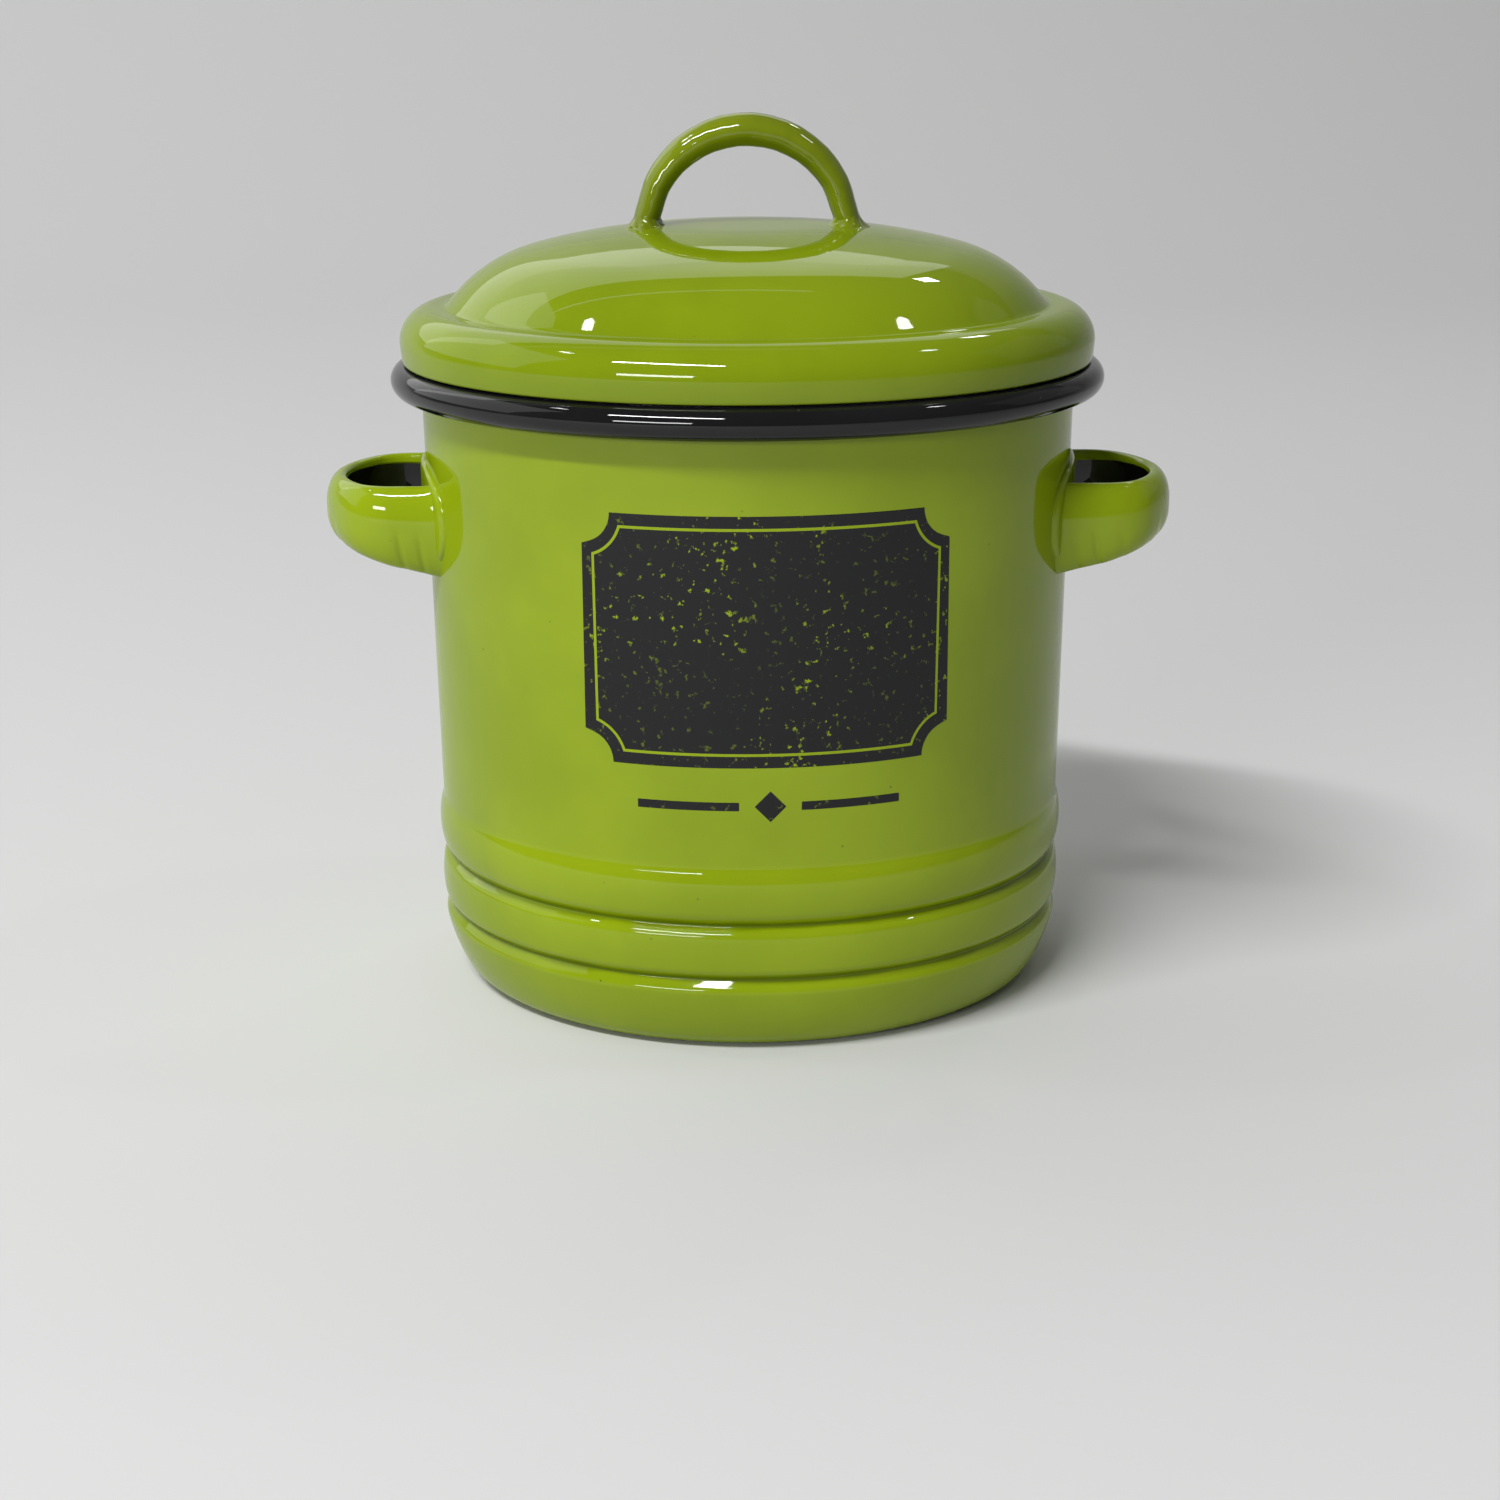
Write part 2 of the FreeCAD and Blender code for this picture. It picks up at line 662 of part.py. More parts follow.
def make_welds(handle):
    """The weld metal round each foot of the lid handle, as two lumps."""
    dome = new_body("weld_dome_tool")
    spin(dome, under_dome(dome, "weld_dome_profile"))
    lumps = []
    for name, sign in (("right", ""), ("left", "-")):
        lump = doc.addObject("Part::Ellipsoid", "weld_lump_" + name)
        bind(lump, "Radius1", "weld_rise")
        bind(lump, "Radius2", "arch_section_width / 2 + weld_spread")
        bind(lump, "Radius3", "arch_section_depth / 2 + weld_spread")
        bind(lump, "Placement.Base.x", sign + "arch_foot_half_width")
        bind(lump, "Placement.Base.z", "%s - lid_thickness / 2" % LID_TOP)
        above = doc.addObject("Part::Cut", "weld_above_" + name)
        above.Base = lump
        above.Tool = dome
        collar = doc.addObject("Part::Cut", "weld_collar_" + name)
        collar.Base = above
        collar.Tool = handle
        lumps.append(collar)
    welds = doc.addObject("Part::Compound", "lid_handle_welds")
    welds.Links = lumps
    doc.recompute()
    return welds


NECK_LOW = "(%s - strainer_neck_depth)" % RIM_TOP
LEDGE_LOW = "(%s - strainer_depth)" % RIM_TOP
LEDGE_TOP = "(%s + strainer_thickness)" % LEDGE_LOW
LEDGE_OUT = "(%s - strainer_ledge_step)" % STRAINER_OUT
LEDGE_IN = "(%s - strainer_ledge_width)" % LEDGE_OUT


def make_strainer_rim():
    """The pressed ring that hangs in the mouth and carries the perforated dish."""
    body = new_body("strainer_rim")
    sketch = new_sketch(body, "strainer_rim_profile", "XZ_Plane")
    flange_out = "%s + strainer_flange_width" % STRAINER_OUT
    flange_top = "%s + strainer_thickness" % RIM_TOP
    draw_outline(sketch, [
        (STRAINER_IN, flange_top),
        (STRAINER_IN, NECK_LOW),
        (LEDGE_OUT, LEDGE_TOP),
        (LEDGE_IN, LEDGE_TOP),
        (LEDGE_IN, LEDGE_LOW),
        ("%s + strainer_thickness" % LEDGE_OUT, LEDGE_LOW),
        (STRAINER_OUT, NECK_LOW),
        (STRAINER_OUT, RIM_TOP),
        (flange_out, RIM_TOP),
        (flange_out, flange_top),
    ])
    spin(body, sketch)
    return body


FLOOR_LOW = "(%s - mesh_depth)" % LEDGE_TOP
FLOOR_TOP = "(%s + mesh_thickness)" % FLOOR_LOW


def make_strainer_mesh():
    """The perforated dish: a rim on the ledge, a sloping side and a holed floor."""
    body = new_body("strainer_mesh")
    sketch = new_sketch(body, "mesh_profile", "XZ_Plane")
    rim_out = "%s - mesh_gap" % LEDGE_OUT
    neck = "(%s - mesh_gap)" % LEDGE_IN
    floor_out = "(%s - mesh_side_run)" % neck
    rim_top = "%s + mesh_thickness" % LEDGE_TOP
    draw_outline(sketch, [
        ("0", FLOOR_LOW),
        (floor_out, FLOOR_LOW),
        (neck, LEDGE_TOP),
        (rim_out, LEDGE_TOP),
        (rim_out, rim_top),
        ("%s - mesh_thickness" % neck, rim_top),
        ("%s - mesh_thickness" % floor_out, FLOOR_TOP),
        ("0", FLOOR_TOP),
    ])
    spin(body, sketch)
    for ring in range(HOLE_RINGS + 1):
        punch_ring(body, ring)
    return body


def punch_ring(body, ring):
    """One ring of round holes through the dish's floor; ring 0 is the middle hole."""
    sketch = new_sketch(body, "hole_%d" % ring, "XY_Plane", FLOOR_TOP)
    across = "hole_pitch * %d" % ring if ring else "0"
    centre = FreeCAD.Vector(value(across), 0, 0)
    radius = value("hole_diameter / 2")
    circle = sketch.addGeometry(Part.Circle(centre, FreeCAD.Vector(0, 0, 1), radius))
    fix_point(sketch, circle, 3, across, "0")
    fix_radius(sketch, circle, "hole_diameter / 2")
    doc.recompute()
    before = body.Shape.Volume
    hole = body.newObject("PartDesign::Pocket", "punched_%d" % ring)
    hole.Profile = sketch
    bind(hole, "Length", "2 * mesh_thickness")
    doc.recompute()
    must_change(body, before, "hole")
    if ring == 0:
        return
    before = body.Shape.Volume
    pattern = body.newObject("PartDesign::PolarPattern", "hole_ring_%d" % ring)
    pattern.Originals = [hole]
    pattern.Axis = (origin_part(body, "Z_Axis"), [""])
    pattern.Angle = FULL_TURN
    pattern.Occurrences = HOLES_PER_RING_STEP * ring
    body.Tip = pattern
    doc.recompute()
    must_change(body, before, "ring of holes")


def check_and_write(parts):
    """Stop on any failed object, then write each sub-part to its own file."""
    doc.recompute()
    for thing in doc.Objects:
        if "Invalid" in thing.State or "Error" in thing.State:
            raise ValueError("failed: " + thing.Name)
    os.makedirs("parts", exist_ok=True)
    for part in parts:
        shape = part.Shape
        if shape.isNull() or not shape.isValid() or not shape.Solids:
            raise ValueError("bad shape: " + part.Label)
        box = shape.BoundBox
        print("%-20s solids %d volume %.0f z %.2f to %.2f" % (
            part.Label, len(shape.Solids), shape.Volume, box.ZMin, box.ZMax))
        shape.exportStep("parts/%s.step" % part.Label)


def main():
    fill_sheet()
    parts = [make_pot_body(), make_rim_bead()]
    for side, turn in (("right", 0.0), ("left", 180.0)):
        parts.append(make_plate(side, turn))
        parts.append(make_strap(side, turn))
    parts += [make_lid_shell(), make_lid_skirt()]
    handle = make_lid_handle()
    parts += [handle, make_welds(handle)]
    parts += [make_strainer_rim(), make_strainer_mesh()]
    check_and_write(parts)


main()
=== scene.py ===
import math

import bpy
from mathutils import Euler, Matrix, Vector


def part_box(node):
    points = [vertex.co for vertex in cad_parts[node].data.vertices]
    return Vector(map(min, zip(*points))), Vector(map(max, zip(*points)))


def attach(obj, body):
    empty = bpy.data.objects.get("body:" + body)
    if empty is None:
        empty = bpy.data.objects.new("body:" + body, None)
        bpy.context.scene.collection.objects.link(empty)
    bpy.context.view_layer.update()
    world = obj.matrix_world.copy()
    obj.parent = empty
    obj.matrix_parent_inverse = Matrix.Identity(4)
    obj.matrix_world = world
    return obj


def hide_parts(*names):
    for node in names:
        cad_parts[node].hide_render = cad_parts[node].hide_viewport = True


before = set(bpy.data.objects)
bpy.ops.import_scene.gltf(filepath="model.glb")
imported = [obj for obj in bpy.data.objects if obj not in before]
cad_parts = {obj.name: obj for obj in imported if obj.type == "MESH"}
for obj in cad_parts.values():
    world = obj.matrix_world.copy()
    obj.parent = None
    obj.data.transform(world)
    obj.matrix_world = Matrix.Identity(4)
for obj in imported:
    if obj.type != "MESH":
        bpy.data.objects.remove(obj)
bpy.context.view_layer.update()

# Enamelled pot for cooking fat, in metres, +Z up, side handles along X, front towards -Y.

MM = 0.001
TURN = 2 * math.pi
LATHE_STEPS = 192
SEAM = 0.002 * MM
SMOOTH_ANGLE = math.radians(35)
BEND_STEPS = 10
FINE_BEND_STEPS = 14
EASE_STEPS = 6

# Places taken from the fixed frame
POT_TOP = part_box("pot_body")[1].z
RIM_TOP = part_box("rim_bead")[1].z
RIM_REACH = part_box("rim_bead")[1].x
LID_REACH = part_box("lid_shell")[1].x
LID_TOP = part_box("lid_shell")[1].z
LID_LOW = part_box("lid_shell")[0].z
STRAP_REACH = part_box("handle_right")[1].x
STRAP_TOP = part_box("handle_right")[1].z
PLATE_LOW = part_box("handle_right_plate")[0].z
PLATE_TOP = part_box("handle_right_plate")[1].z
PLATE_HALF_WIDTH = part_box("handle_right_plate")[1].y
ARCH_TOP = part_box("lid_handle")[1].z

# Sheet and wall
WALL = 1.2 * MM
WALL_LOW_RADIUS = 65 * MM
WALL_TOP_RADIUS = 67 * MM
WALL_LOW = 38.6 * MM

# The pot's foot and ribs, in millimetres
CORNER_HEIGHT = 13.6
LOWER_GROOVE = CORNER_HEIGHT + 2.0
UPPER_GROOVE = LOWER_GROOVE + 11.0
LOWER_RIB = LOWER_GROOVE + 1.7
LOWER_RIB_END = UPPER_GROOVE - 1.3
UPPER_RIB = UPPER_GROOVE + 2.0
CORNER_DEGREES = 62
CORNER_LOW_BEND = 7.2
CORNER_HIGH_BEND = 31.6
CORNER_WIDTH = 9.7
RIB_PROUD = 0.15
LOWER_RIB_BEND = 20.6
UPPER_RIB_BEND = 15.8
GROOVE_DEPTH = 1.4
# Painted shade in the grooves under the ribs: its heights, set just above each groove
GROOVE_SHADE_ABOVE = 0.3
GROOVE_SHADE_HEIGHTS = ((LOWER_GROOVE + GROOVE_SHADE_ABOVE) * MM, (UPPER_GROOVE + GROOVE_SHADE_ABOVE) * MM)


def wall_radius(height):
    """The wall's outside radius at a height above the ribs."""
    share = (height - WALL_LOW) / (POT_TOP - WALL_LOW)
    return WALL_LOW_RADIUS + (WALL_TOP_RADIUS - WALL_LOW_RADIUS) * share


# Outlines

def arc_run(start, end, bend, turn, steps):
    """Points after start up to end on the short arc of a bend; turn 1 is anticlockwise."""
    first, last = Vector(start), Vector(end)
    chord = last - first
    half = chord.length / 2
    rise = math.sqrt(max(bend * bend - half * half, 0))
    left = Vector((-chord.y, chord.x)).normalized()
    centre = first + chord / 2 + left * rise * turn
    begin = math.atan2(first.y - centre.y, first.x - centre.x)
    sweep = turn * 2 * math.asin(min(half / bend, 1))
    points = []
    for number in range(1, steps + 1):
        angle = begin + sweep * number / steps
        points.append(centre + bend * Vector((math.cos(angle), math.sin(angle))))
    return points


def outline(steps, bend_steps=BEND_STEPS):
    """A run of straight and round steps in millimetres, with its soft corners eased.

    A step is (across, up, soft) or (across, up, soft, bend, turn); soft is the corner's
    easing reach, or 0 where the run goes on smoothly.
    """
    points = []
    corners = []
    for step in steps:
        place = Vector(step[:2]) * MM
        if len(step) > 3:
            points += arc_run(points[-1], place, step[3] * MM, step[4], bend_steps)
        else:
            points.append(place)
        if step[2]:
            corners.append((len(points) - 1, step[2] * MM))
    return eased(points, corners)


def eased(points, corners):
    """Round off the marked corners of a run, each over its own reach."""
    along = [0.0]
    for before, after in zip(points, points[1:]):
        along.append(along[-1] + (after - before).length)

    def point_at(distance):
        for number in range(1, len(points)):
            if along[number] >= distance:
                span = along[number] - along[number - 1]
                share = (distance - along[number - 1]) / span if span else 0
                return points[number - 1].lerp(points[number], share)
        return points[-1]

    kept = list(zip(along, points))
    for number, reach in corners:
        middle, corner = along[number], points[number]
        kept = [pair for pair in kept if abs(pair[0] - middle) >= reach]
        before, after = point_at(middle - reach), point_at(middle + reach)
        for step in range(EASE_STEPS + 1):
            share = step / EASE_STEPS
            point = before.lerp(corner, share).lerp(corner.lerp(after, share), share)
            kept.append((middle - reach + 2 * reach * share, point))
    kept.sort(key=lambda pair: pair[0])
    return [point for _, point in kept]


# Making meshes

def dress(piece, *materials):
    piece.data.materials.clear()
    for material in materials:
        piece.data.materials.append(material)


def draw_line(name, places):
    """One vertex extruded from place to place, left open in edit mode."""
    bpy.ops.object.select_all(action="DESELECT")
    bpy.ops.mesh.primitive_plane_add(size=MM, location=places[0])
    piece = bpy.context.object
    piece.name = name
    bpy.ops.object.transform_apply(location=True, rotation=False, scale=False)
    bpy.ops.object.mode_set(mode="EDIT")
    bpy.ops.mesh.select_all(action="SELECT")
    bpy.ops.mesh.merge(type="CENTER")
    for start, end in zip(places, places[1:]):
        step = Vector(end) - Vector(start)
        bpy.ops.mesh.extrude_region_move(TRANSFORM_OT_translate={"value": step})
    return piece


def close_up(piece):
    """Merge seams and poles, turn every face outwards and shade smoothly."""
    bpy.ops.mesh.select_all(action="SELECT")
    bpy.ops.mesh.remove_doubles(threshold=SEAM)
    bpy.ops.mesh.normals_make_consistent(inside=False)
    bpy.ops.object.mode_set(mode="OBJECT")
    bpy.ops.object.shade_smooth_by_angle(angle=SMOOTH_ANGLE)
    return piece


def lathe(name, points):
    """Spin an outline of (radius, height) points about the upright axis."""
    piece = draw_line(name, [(point.x, 0, point.y) for point in points])
    bpy.ops.mesh.select_all(action="SELECT")
    bpy.ops.mesh.spin(steps=LATHE_STEPS, angle=TURN, center=(0, 0, 0), axis=(0, 0, 1))
    return close_up(piece)


def shaped_grid(name, columns, rows, place, finishes, second=None):
    """A grid whose every vertex is put where place(across, along) says, both from 0 to 1.

    second(across) is True for the columns that take the second finish.
    """
    bpy.ops.object.select_all(action="DESELECT")
    bpy.ops.mesh.primitive_grid_add(x_subdivisions=columns, y_subdivisions=rows, size=2)
    piece = bpy.context.object
    piece.name = name
    dress(piece, *finishes)
    if second:
        for face in piece.data.polygons:
            face.material_index = 1 if second((face.center.x + 1) / 2) else 0
    for vertex in piece.data.vertices:
        across = (vertex.co.x + 1) / 2
        along = (vertex.co.y + 1) / 2
        vertex.co = place(across, along)
    bpy.ops.object.mode_set(mode="EDIT")
    return close_up(piece)


def join(name, pieces):
    """Join several meshes into the first, under a new name."""
    bpy.ops.object.select_all(action="DESELECT")
    for piece in pieces:
        piece.select_set(True)
    bpy.context.view_layer.objects.active = pieces[0]
    bpy.ops.object.join()
    pieces[0].name = name
    return pieces[0]


def mirror_copy(piece, name):
    """The same shape on the other side handle, turned half round the axis."""
    bpy.ops.object.select_all(action="DESELECT")
    piece.select_set(True)
    bpy.context.view_layer.objects.active = piece
    bpy.ops.object.duplicate()
    other = bpy.context.object
    other.name = name
    for vertex in other.data.vertices:
        vertex.co.x = -vertex.co.x
        vertex.co.y = -vertex.co.y
    return other


# Materials

def new_material(name):
    material = bpy.data.materials.new(name)
    material.use_nodes = True
    return material, material.node_tree, material.node_tree.nodes["Principled BSDF"]


def object_point(tree, scale=(1, 1, 1)):
    """The surface point in the object's own metres, stretched along its axes."""
    place = tree.nodes.new("ShaderNodeTexCoord")
    stretch = tree.nodes.new("ShaderNodeMapping")
    stretch.inputs["Scale"].default_value = scale
    tree.links.new(place.outputs["Object"], stretch.inputs["Vector"])
    return stretch.outputs["Vector"]


def noise(tree, point, scale, detail=2.0, rough=0.5):
    texture = tree.nodes.new("ShaderNodeTexNoise")
    texture.inputs["Scale"].default_value = scale
    texture.inputs["Detail"].default_value = detail
    texture.inputs["Roughness"].default_value = rough
    tree.links.new(point, texture.inputs["Vector"])
    return texture.outputs["Fac"]


def spread(tree, source, low, high, to_low=0.0, to_high=1.0):
    """Map a span of values to another, clamped."""
    remap = tree.nodes.new("ShaderNodeMapRange")
    remap.interpolation_type = "SMOOTHSTEP"
    remap.inputs["From Min"].default_value = low
    remap.inputs["From Max"].default_value = high
    remap.inputs["To Min"].default_value = to_low
    remap.inputs["To Max"].default_value = to_high
    tree.links.new(source, remap.inputs["Value"])
    return remap.outputs["Result"]


def math_node(tree, operation, first, second=0):
    """A Math node on two values, each a socket or a number."""
    node = tree.nodes.new("ShaderNodeMath")
    node.operation = operation
    for socket, source in zip(node.inputs, (first, second)):
        if isinstance(source, (int, float)):
            socket.default_value = source
        else:
            tree.links.new(source, socket)
    return node.outputs["Value"]


def apart(tree, value, middle):
    """How far a value is from a middle, either way."""
    return math_node(tree, "ABSOLUTE", math_node(tree, "SUBTRACT", value, middle))


def blend_colours(tree, share, first, second):
    """Mix two colours, each a socket or a plain colour."""
    mix = tree.nodes.new("ShaderNodeMix")
    mix.data_type = "RGBA"
    tree.links.new(share, mix.inputs["Factor"])
    for name, source in (("A", first), ("B", second)):
        socket = [item for item in mix.inputs if item.name == name and item.type == "RGBA"][0]
        if isinstance(source, tuple):
            socket.default_value = source + (1.0,)
        else:
            tree.links.new(source, socket)
    return [item for item in mix.outputs if item.type == "RGBA"][0]


def bump(tree, height, strength, distance, after=None):
    node = tree.nodes.new("ShaderNodeBump")
    node.inputs["Strength"].default_value = strength
    node.inputs["Distance"].default_value = distance
    tree.links.new(height, node.inputs["Height"])
    if after is not None:
        tree.links.new(after, node.inputs["Normal"])
    return node.outputs["Normal"]


# Where most of a noise texture's values lie
NOISE_SPAN = (0.3, 0.7)

PIT_SCALE = 210
PIT_RADIUS = 0.07
PIT_SHARE = 0.72
PIT_DEPTH = 0.1 * MM
PIT_STRENGTH = 0.6


def pits(tree, point):
    """Tiny pinholes in the glass coat: 1 in a pit, 0 elsewhere."""
    cells = tree.nodes.new("ShaderNodeTexVoronoi")
    cells.inputs["Scale"].default_value = PIT_SCALE
    tree.links.new(point, cells.inputs["Vector"])
    parts = tree.nodes.new("ShaderNodeSeparateColor")
    tree.links.new(cells.outputs["Color"], parts.inputs["Color"])
    chosen = math_node(tree, "GREATER_THAN", parts.outputs["Red"], PIT_SHARE)
    near = spread(tree, cells.outputs["Distance"], PIT_RADIUS, 0)
    return math_node(tree, "MULTIPLY", chosen, near)


# Painted shade in the grooves: its half width, raggedness and darkness
GROOVE_SHADE_HALF_WIDTH = 1.15 * MM
GROOVE_SHADE_SWING = 0.25
GROOVE_SHADE_RAGGED_SCALE = 60
GROOVE_SHADE_CORE = 0.25
GROOVE_SHADE_DARK = 0.55
FAR_OFF = 1.0


def painted_groove_shade(tree, point, colour, heights):
    """Painted shade: darken a colour in the grooves at these heights, where shade falls under
    the ribs.
    """
    parts = tree.nodes.new("ShaderNodeSeparateXYZ")
    tree.links.new(point, parts.inputs["Vector"])
    nearest = FAR_OFF
    for height in heights:
        nearest = math_node(tree, "MINIMUM", apart(tree, parts.outputs["Z"], height), nearest)
    ragged = spread(tree, noise(tree, point, GROOVE_SHADE_RAGGED_SCALE, 3), *NOISE_SPAN,
                    GROOVE_SHADE_HALF_WIDTH * (1 - GROOVE_SHADE_SWING), GROOVE_SHADE_HALF_WIDTH * (1 + GROOVE_SHADE_SWING))
    share = math_node(tree, "DIVIDE", nearest, ragged)
    groove_shade = spread(tree, share, GROOVE_SHADE_CORE, 1, GROOVE_SHADE_DARK, 0)
    return blend_colours(tree, groove_shade, colour, GREEN_GROOVE_SHADE)


CLOUD_SCALE = 22
CLOUD_SPAN = (0.35, 0.68)
GLOSS_SCALE = 90
SMOOTHEST = 0.8
ROUGHEST = 1.25
WAVE_SCALE = 38
WAVE_STRENGTH = 0.5
WAVE_DEPTH = 0.16 * MM
PEEL_SCALE = 240
PEEL_STRENGTH = 0.3
PEEL_DEPTH = 0.02 * MM
GLASS_ROUGHNESS = 0.03
GLASS_IOR = 1.5


def slow_waves(tree, point):
    """The gentle waviness of enamelled sheet, as a normal."""
    return bump(tree, noise(tree, point, WAVE_SCALE, 1), WAVE_STRENGTH, WAVE_DEPTH)


def glass_coat(shader, weight, roughness):
    """All of the shine comes from a clear coat, and none from the pigment."""
    shader.inputs["Specular IOR Level"].default_value = 0.0
    shader.inputs["Coat Weight"].default_value = weight
    shader.inputs["Coat Roughness"].default_value = roughness
    shader.inputs["Coat IOR"].default_value = GLASS_IOR


def enamel(name, thick, thin, pit_colour, roughness, coat, wavy=1.0, groove_shade_heights=()):
    """Glossy vitreous enamel: cloudy pigment, pinholes and a slightly wavy glass coat."""
    material, tree, shader = new_material(name)
    point = object_point(tree)
    cloud = spread(tree, noise(tree, point, CLOUD_SCALE, 4), *CLOUD_SPAN)
    colour = blend_colours(tree, cloud, thick, thin)
    # Painted shade along the pot's grooves
    if groove_shade_heights:
        colour = painted_groove_shade(tree, point, colour, groove_shade_heights)
    holes = pits(tree, point)
    colour = blend_colours(tree, holes, colour, pit_colour)
    tree.links.new(colour, shader.inputs["Base Color"])
    gloss = spread(tree, noise(tree, point, GLOSS_SCALE, 3), *NOISE_SPAN,
                   roughness * SMOOTHEST, roughness * ROUGHEST)
    tree.links.new(gloss, shader.inputs["Roughness"])
    peel = bump(tree, noise(tree, point, PEEL_SCALE, 1), PEEL_STRENGTH, PEEL_DEPTH * wavy,
                slow_waves(tree, point))
    dents = bump(tree, math_node(tree, "MULTIPLY", holes, -1), PIT_STRENGTH, PIT_DEPTH, peel)
    tree.links.new(dents, shader.inputs["Normal"])
    tree.links.new(peel, shader.inputs["Coat Normal"])
    glass_coat(shader, coat, GLASS_ROUGHNESS)
    return material


GREEN_THICK = (0.205, 0.282, 0.003)
GREEN_THIN = (0.245, 0.332, 0.005)
GREEN_PIT = (0.05, 0.09, 0.004)
# The colour of the painted shade in the grooves
GREEN_GROOVE_SHADE = (0.035, 0.062, 0.001)
# A darker copy of the same green: painted shade for the lid's upward faces
LID_SHADED_GREEN_THICK = (0.168, 0.236, 0.003)
LID_SHADED_GREEN_THIN = (0.205, 0.282, 0.005)
ARCH_GREEN_THICK = (0.120, 0.158, 0.003)
ARCH_GREEN_THIN = (0.170, 0.220, 0.005)
BLACK_THICK = (0.006, 0.006, 0.0065)
BLACK_THIN = (0.011, 0.011, 0.012)
BLACK_PIT = (0.05, 0.05, 0.05)
GREEN_FINISH = {"roughness": 0.32, "coat": 0.72}

green_enamel = enamel("green_enamel", GREEN_THICK, GREEN_THIN, GREEN_PIT, **GREEN_FINISH)
# The pot's green, with painted shade in its grooves
pot_enamel = enamel("pot_enamel", GREEN_THICK, GREEN_THIN, GREEN_PIT, groove_shade_heights=GROOVE_SHADE_HEIGHTS,
                    **GREEN_FINISH)
# The lid's green, darkened as painted shade
lid_enamel = enamel("lid_enamel", LID_SHADED_GREEN_THICK, LID_SHADED_GREEN_THIN, GREEN_PIT, **GREEN_FINISH)
arch_enamel = enamel("arch_enamel", ARCH_GREEN_THICK, ARCH_GREEN_THIN, GREEN_PIT,
                     roughness=0.3, coat=0.9, wavy=3.0)
black_enamel = enamel("black_enamel", BLACK_THICK, BLACK_THIN, BLACK_PIT,
                      roughness=0.18, coat=0.8, wavy=3.5)
ground_coat = enamel("ground_coat", BLACK_THICK, BLACK_THIN, BLACK_PIT, roughness=0.38, coat=0.8)


STEEL_SMEARED = (0.50, 0.49, 0.47)
STEEL_CLEAN = (0.62, 0.61, 0.59)
STEEL_ROUGHNESS = (0.2, 0.34)
RING_STRETCH = (1, 1, 60)
RING_STRENGTH = 0.3
RING_DEPTH = 0.02 * MM


def stainless():
    """Turned stainless steel: fine rings and faint smears."""
    material, tree, shader = new_material("stainless")
    rings = noise(tree, object_point(tree, RING_STRETCH), scale=60, detail=5, rough=0.7)
    smears = noise(tree, object_point(tree), scale=35, detail=3)
    colour = blend_colours(tree, smears, STEEL_SMEARED, STEEL_CLEAN)
    roughness = spread(tree, smears, *NOISE_SPAN, *STEEL_ROUGHNESS)
    tree.links.new(colour, shader.inputs["Base Color"])
    tree.links.new(roughness, shader.inputs["Roughness"])
    tree.links.new(bump(tree, rings, RING_STRENGTH, RING_DEPTH), shader.inputs["Normal"])
    shader.inputs["Metallic"].default_value = 1.0
    return material


steel = stainless()


def ground_coat_faces(piece, is_inside):
    """Give the second material to the faces on the unsprayed side."""
    for face in piece.data.polygons:
        centre = Vector((face.center.x, face.center.y))
        away = Vector((face.normal.x, face.normal.y))
        radial = away.dot(centre.normalized()) if centre.length else 0
        face.material_index = 1 if is_inside(radial, face.normal.z) else 0


# Pot

GROOVE_SOFT = 0.35
# A face is inside where it turns to the axis, or lies almost level and looks up
TURNED_IN = -0.02
LEVEL = 0.97


def pot_side(inset):
    """The pot's side from the base's edge up to the mouth, in millimetres."""
    low = WALL_LOW_RADIUS / MM
    flat = low - CORNER_WIDTH
    bend = CORNER_LOW_BEND - inset
    turn = math.radians(CORNER_DEGREES)
    edge = low + RIB_PROUD - inset
    groove = low - GROOVE_DEPTH - inset
    return [
        (flat, inset, 0),
        (flat + bend * math.sin(turn), CORNER_LOW_BEND - bend * math.cos(turn), 0, bend, 1),
        (edge, CORNER_HEIGHT, 0.9, CORNER_HIGH_BEND - inset, 1),
        (groove, LOWER_GROOVE, GROOVE_SOFT),
        (edge, LOWER_RIB, 0.8),
        (edge, LOWER_RIB_END, 0.7, LOWER_RIB_BEND, 1),
        (groove, UPPER_GROOVE, GROOVE_SOFT),
        (edge, UPPER_RIB, 0.9),
        (low - inset, WALL_LOW / MM, 1.0, UPPER_RIB_BEND, 1),
        (WALL_TOP_RADIUS / MM - inset, POT_TOP / MM, 0),
    ]


def make_pot():
    outside = outline([(0, 0, 0)] + pot_side(0))
    inside = outline([(0, WALL / MM, 0)] + pot_side(WALL / MM))
    pot = lathe("pot_drawn_wall", outside + inside[::-1])
    dress(pot, pot_enamel, ground_coat)
    ground_coat_faces(pot, lambda radial, up: radial < TURNED_IN or up > LEVEL)
    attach(pot, "pot")
    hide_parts("pot_body")


# Rim, in millimetres

RIM_ROUND = 3.15
RIM_TUCK = 0.04
RIM_BACK = 1.6
RIM_UNDER_BEND = 3.6


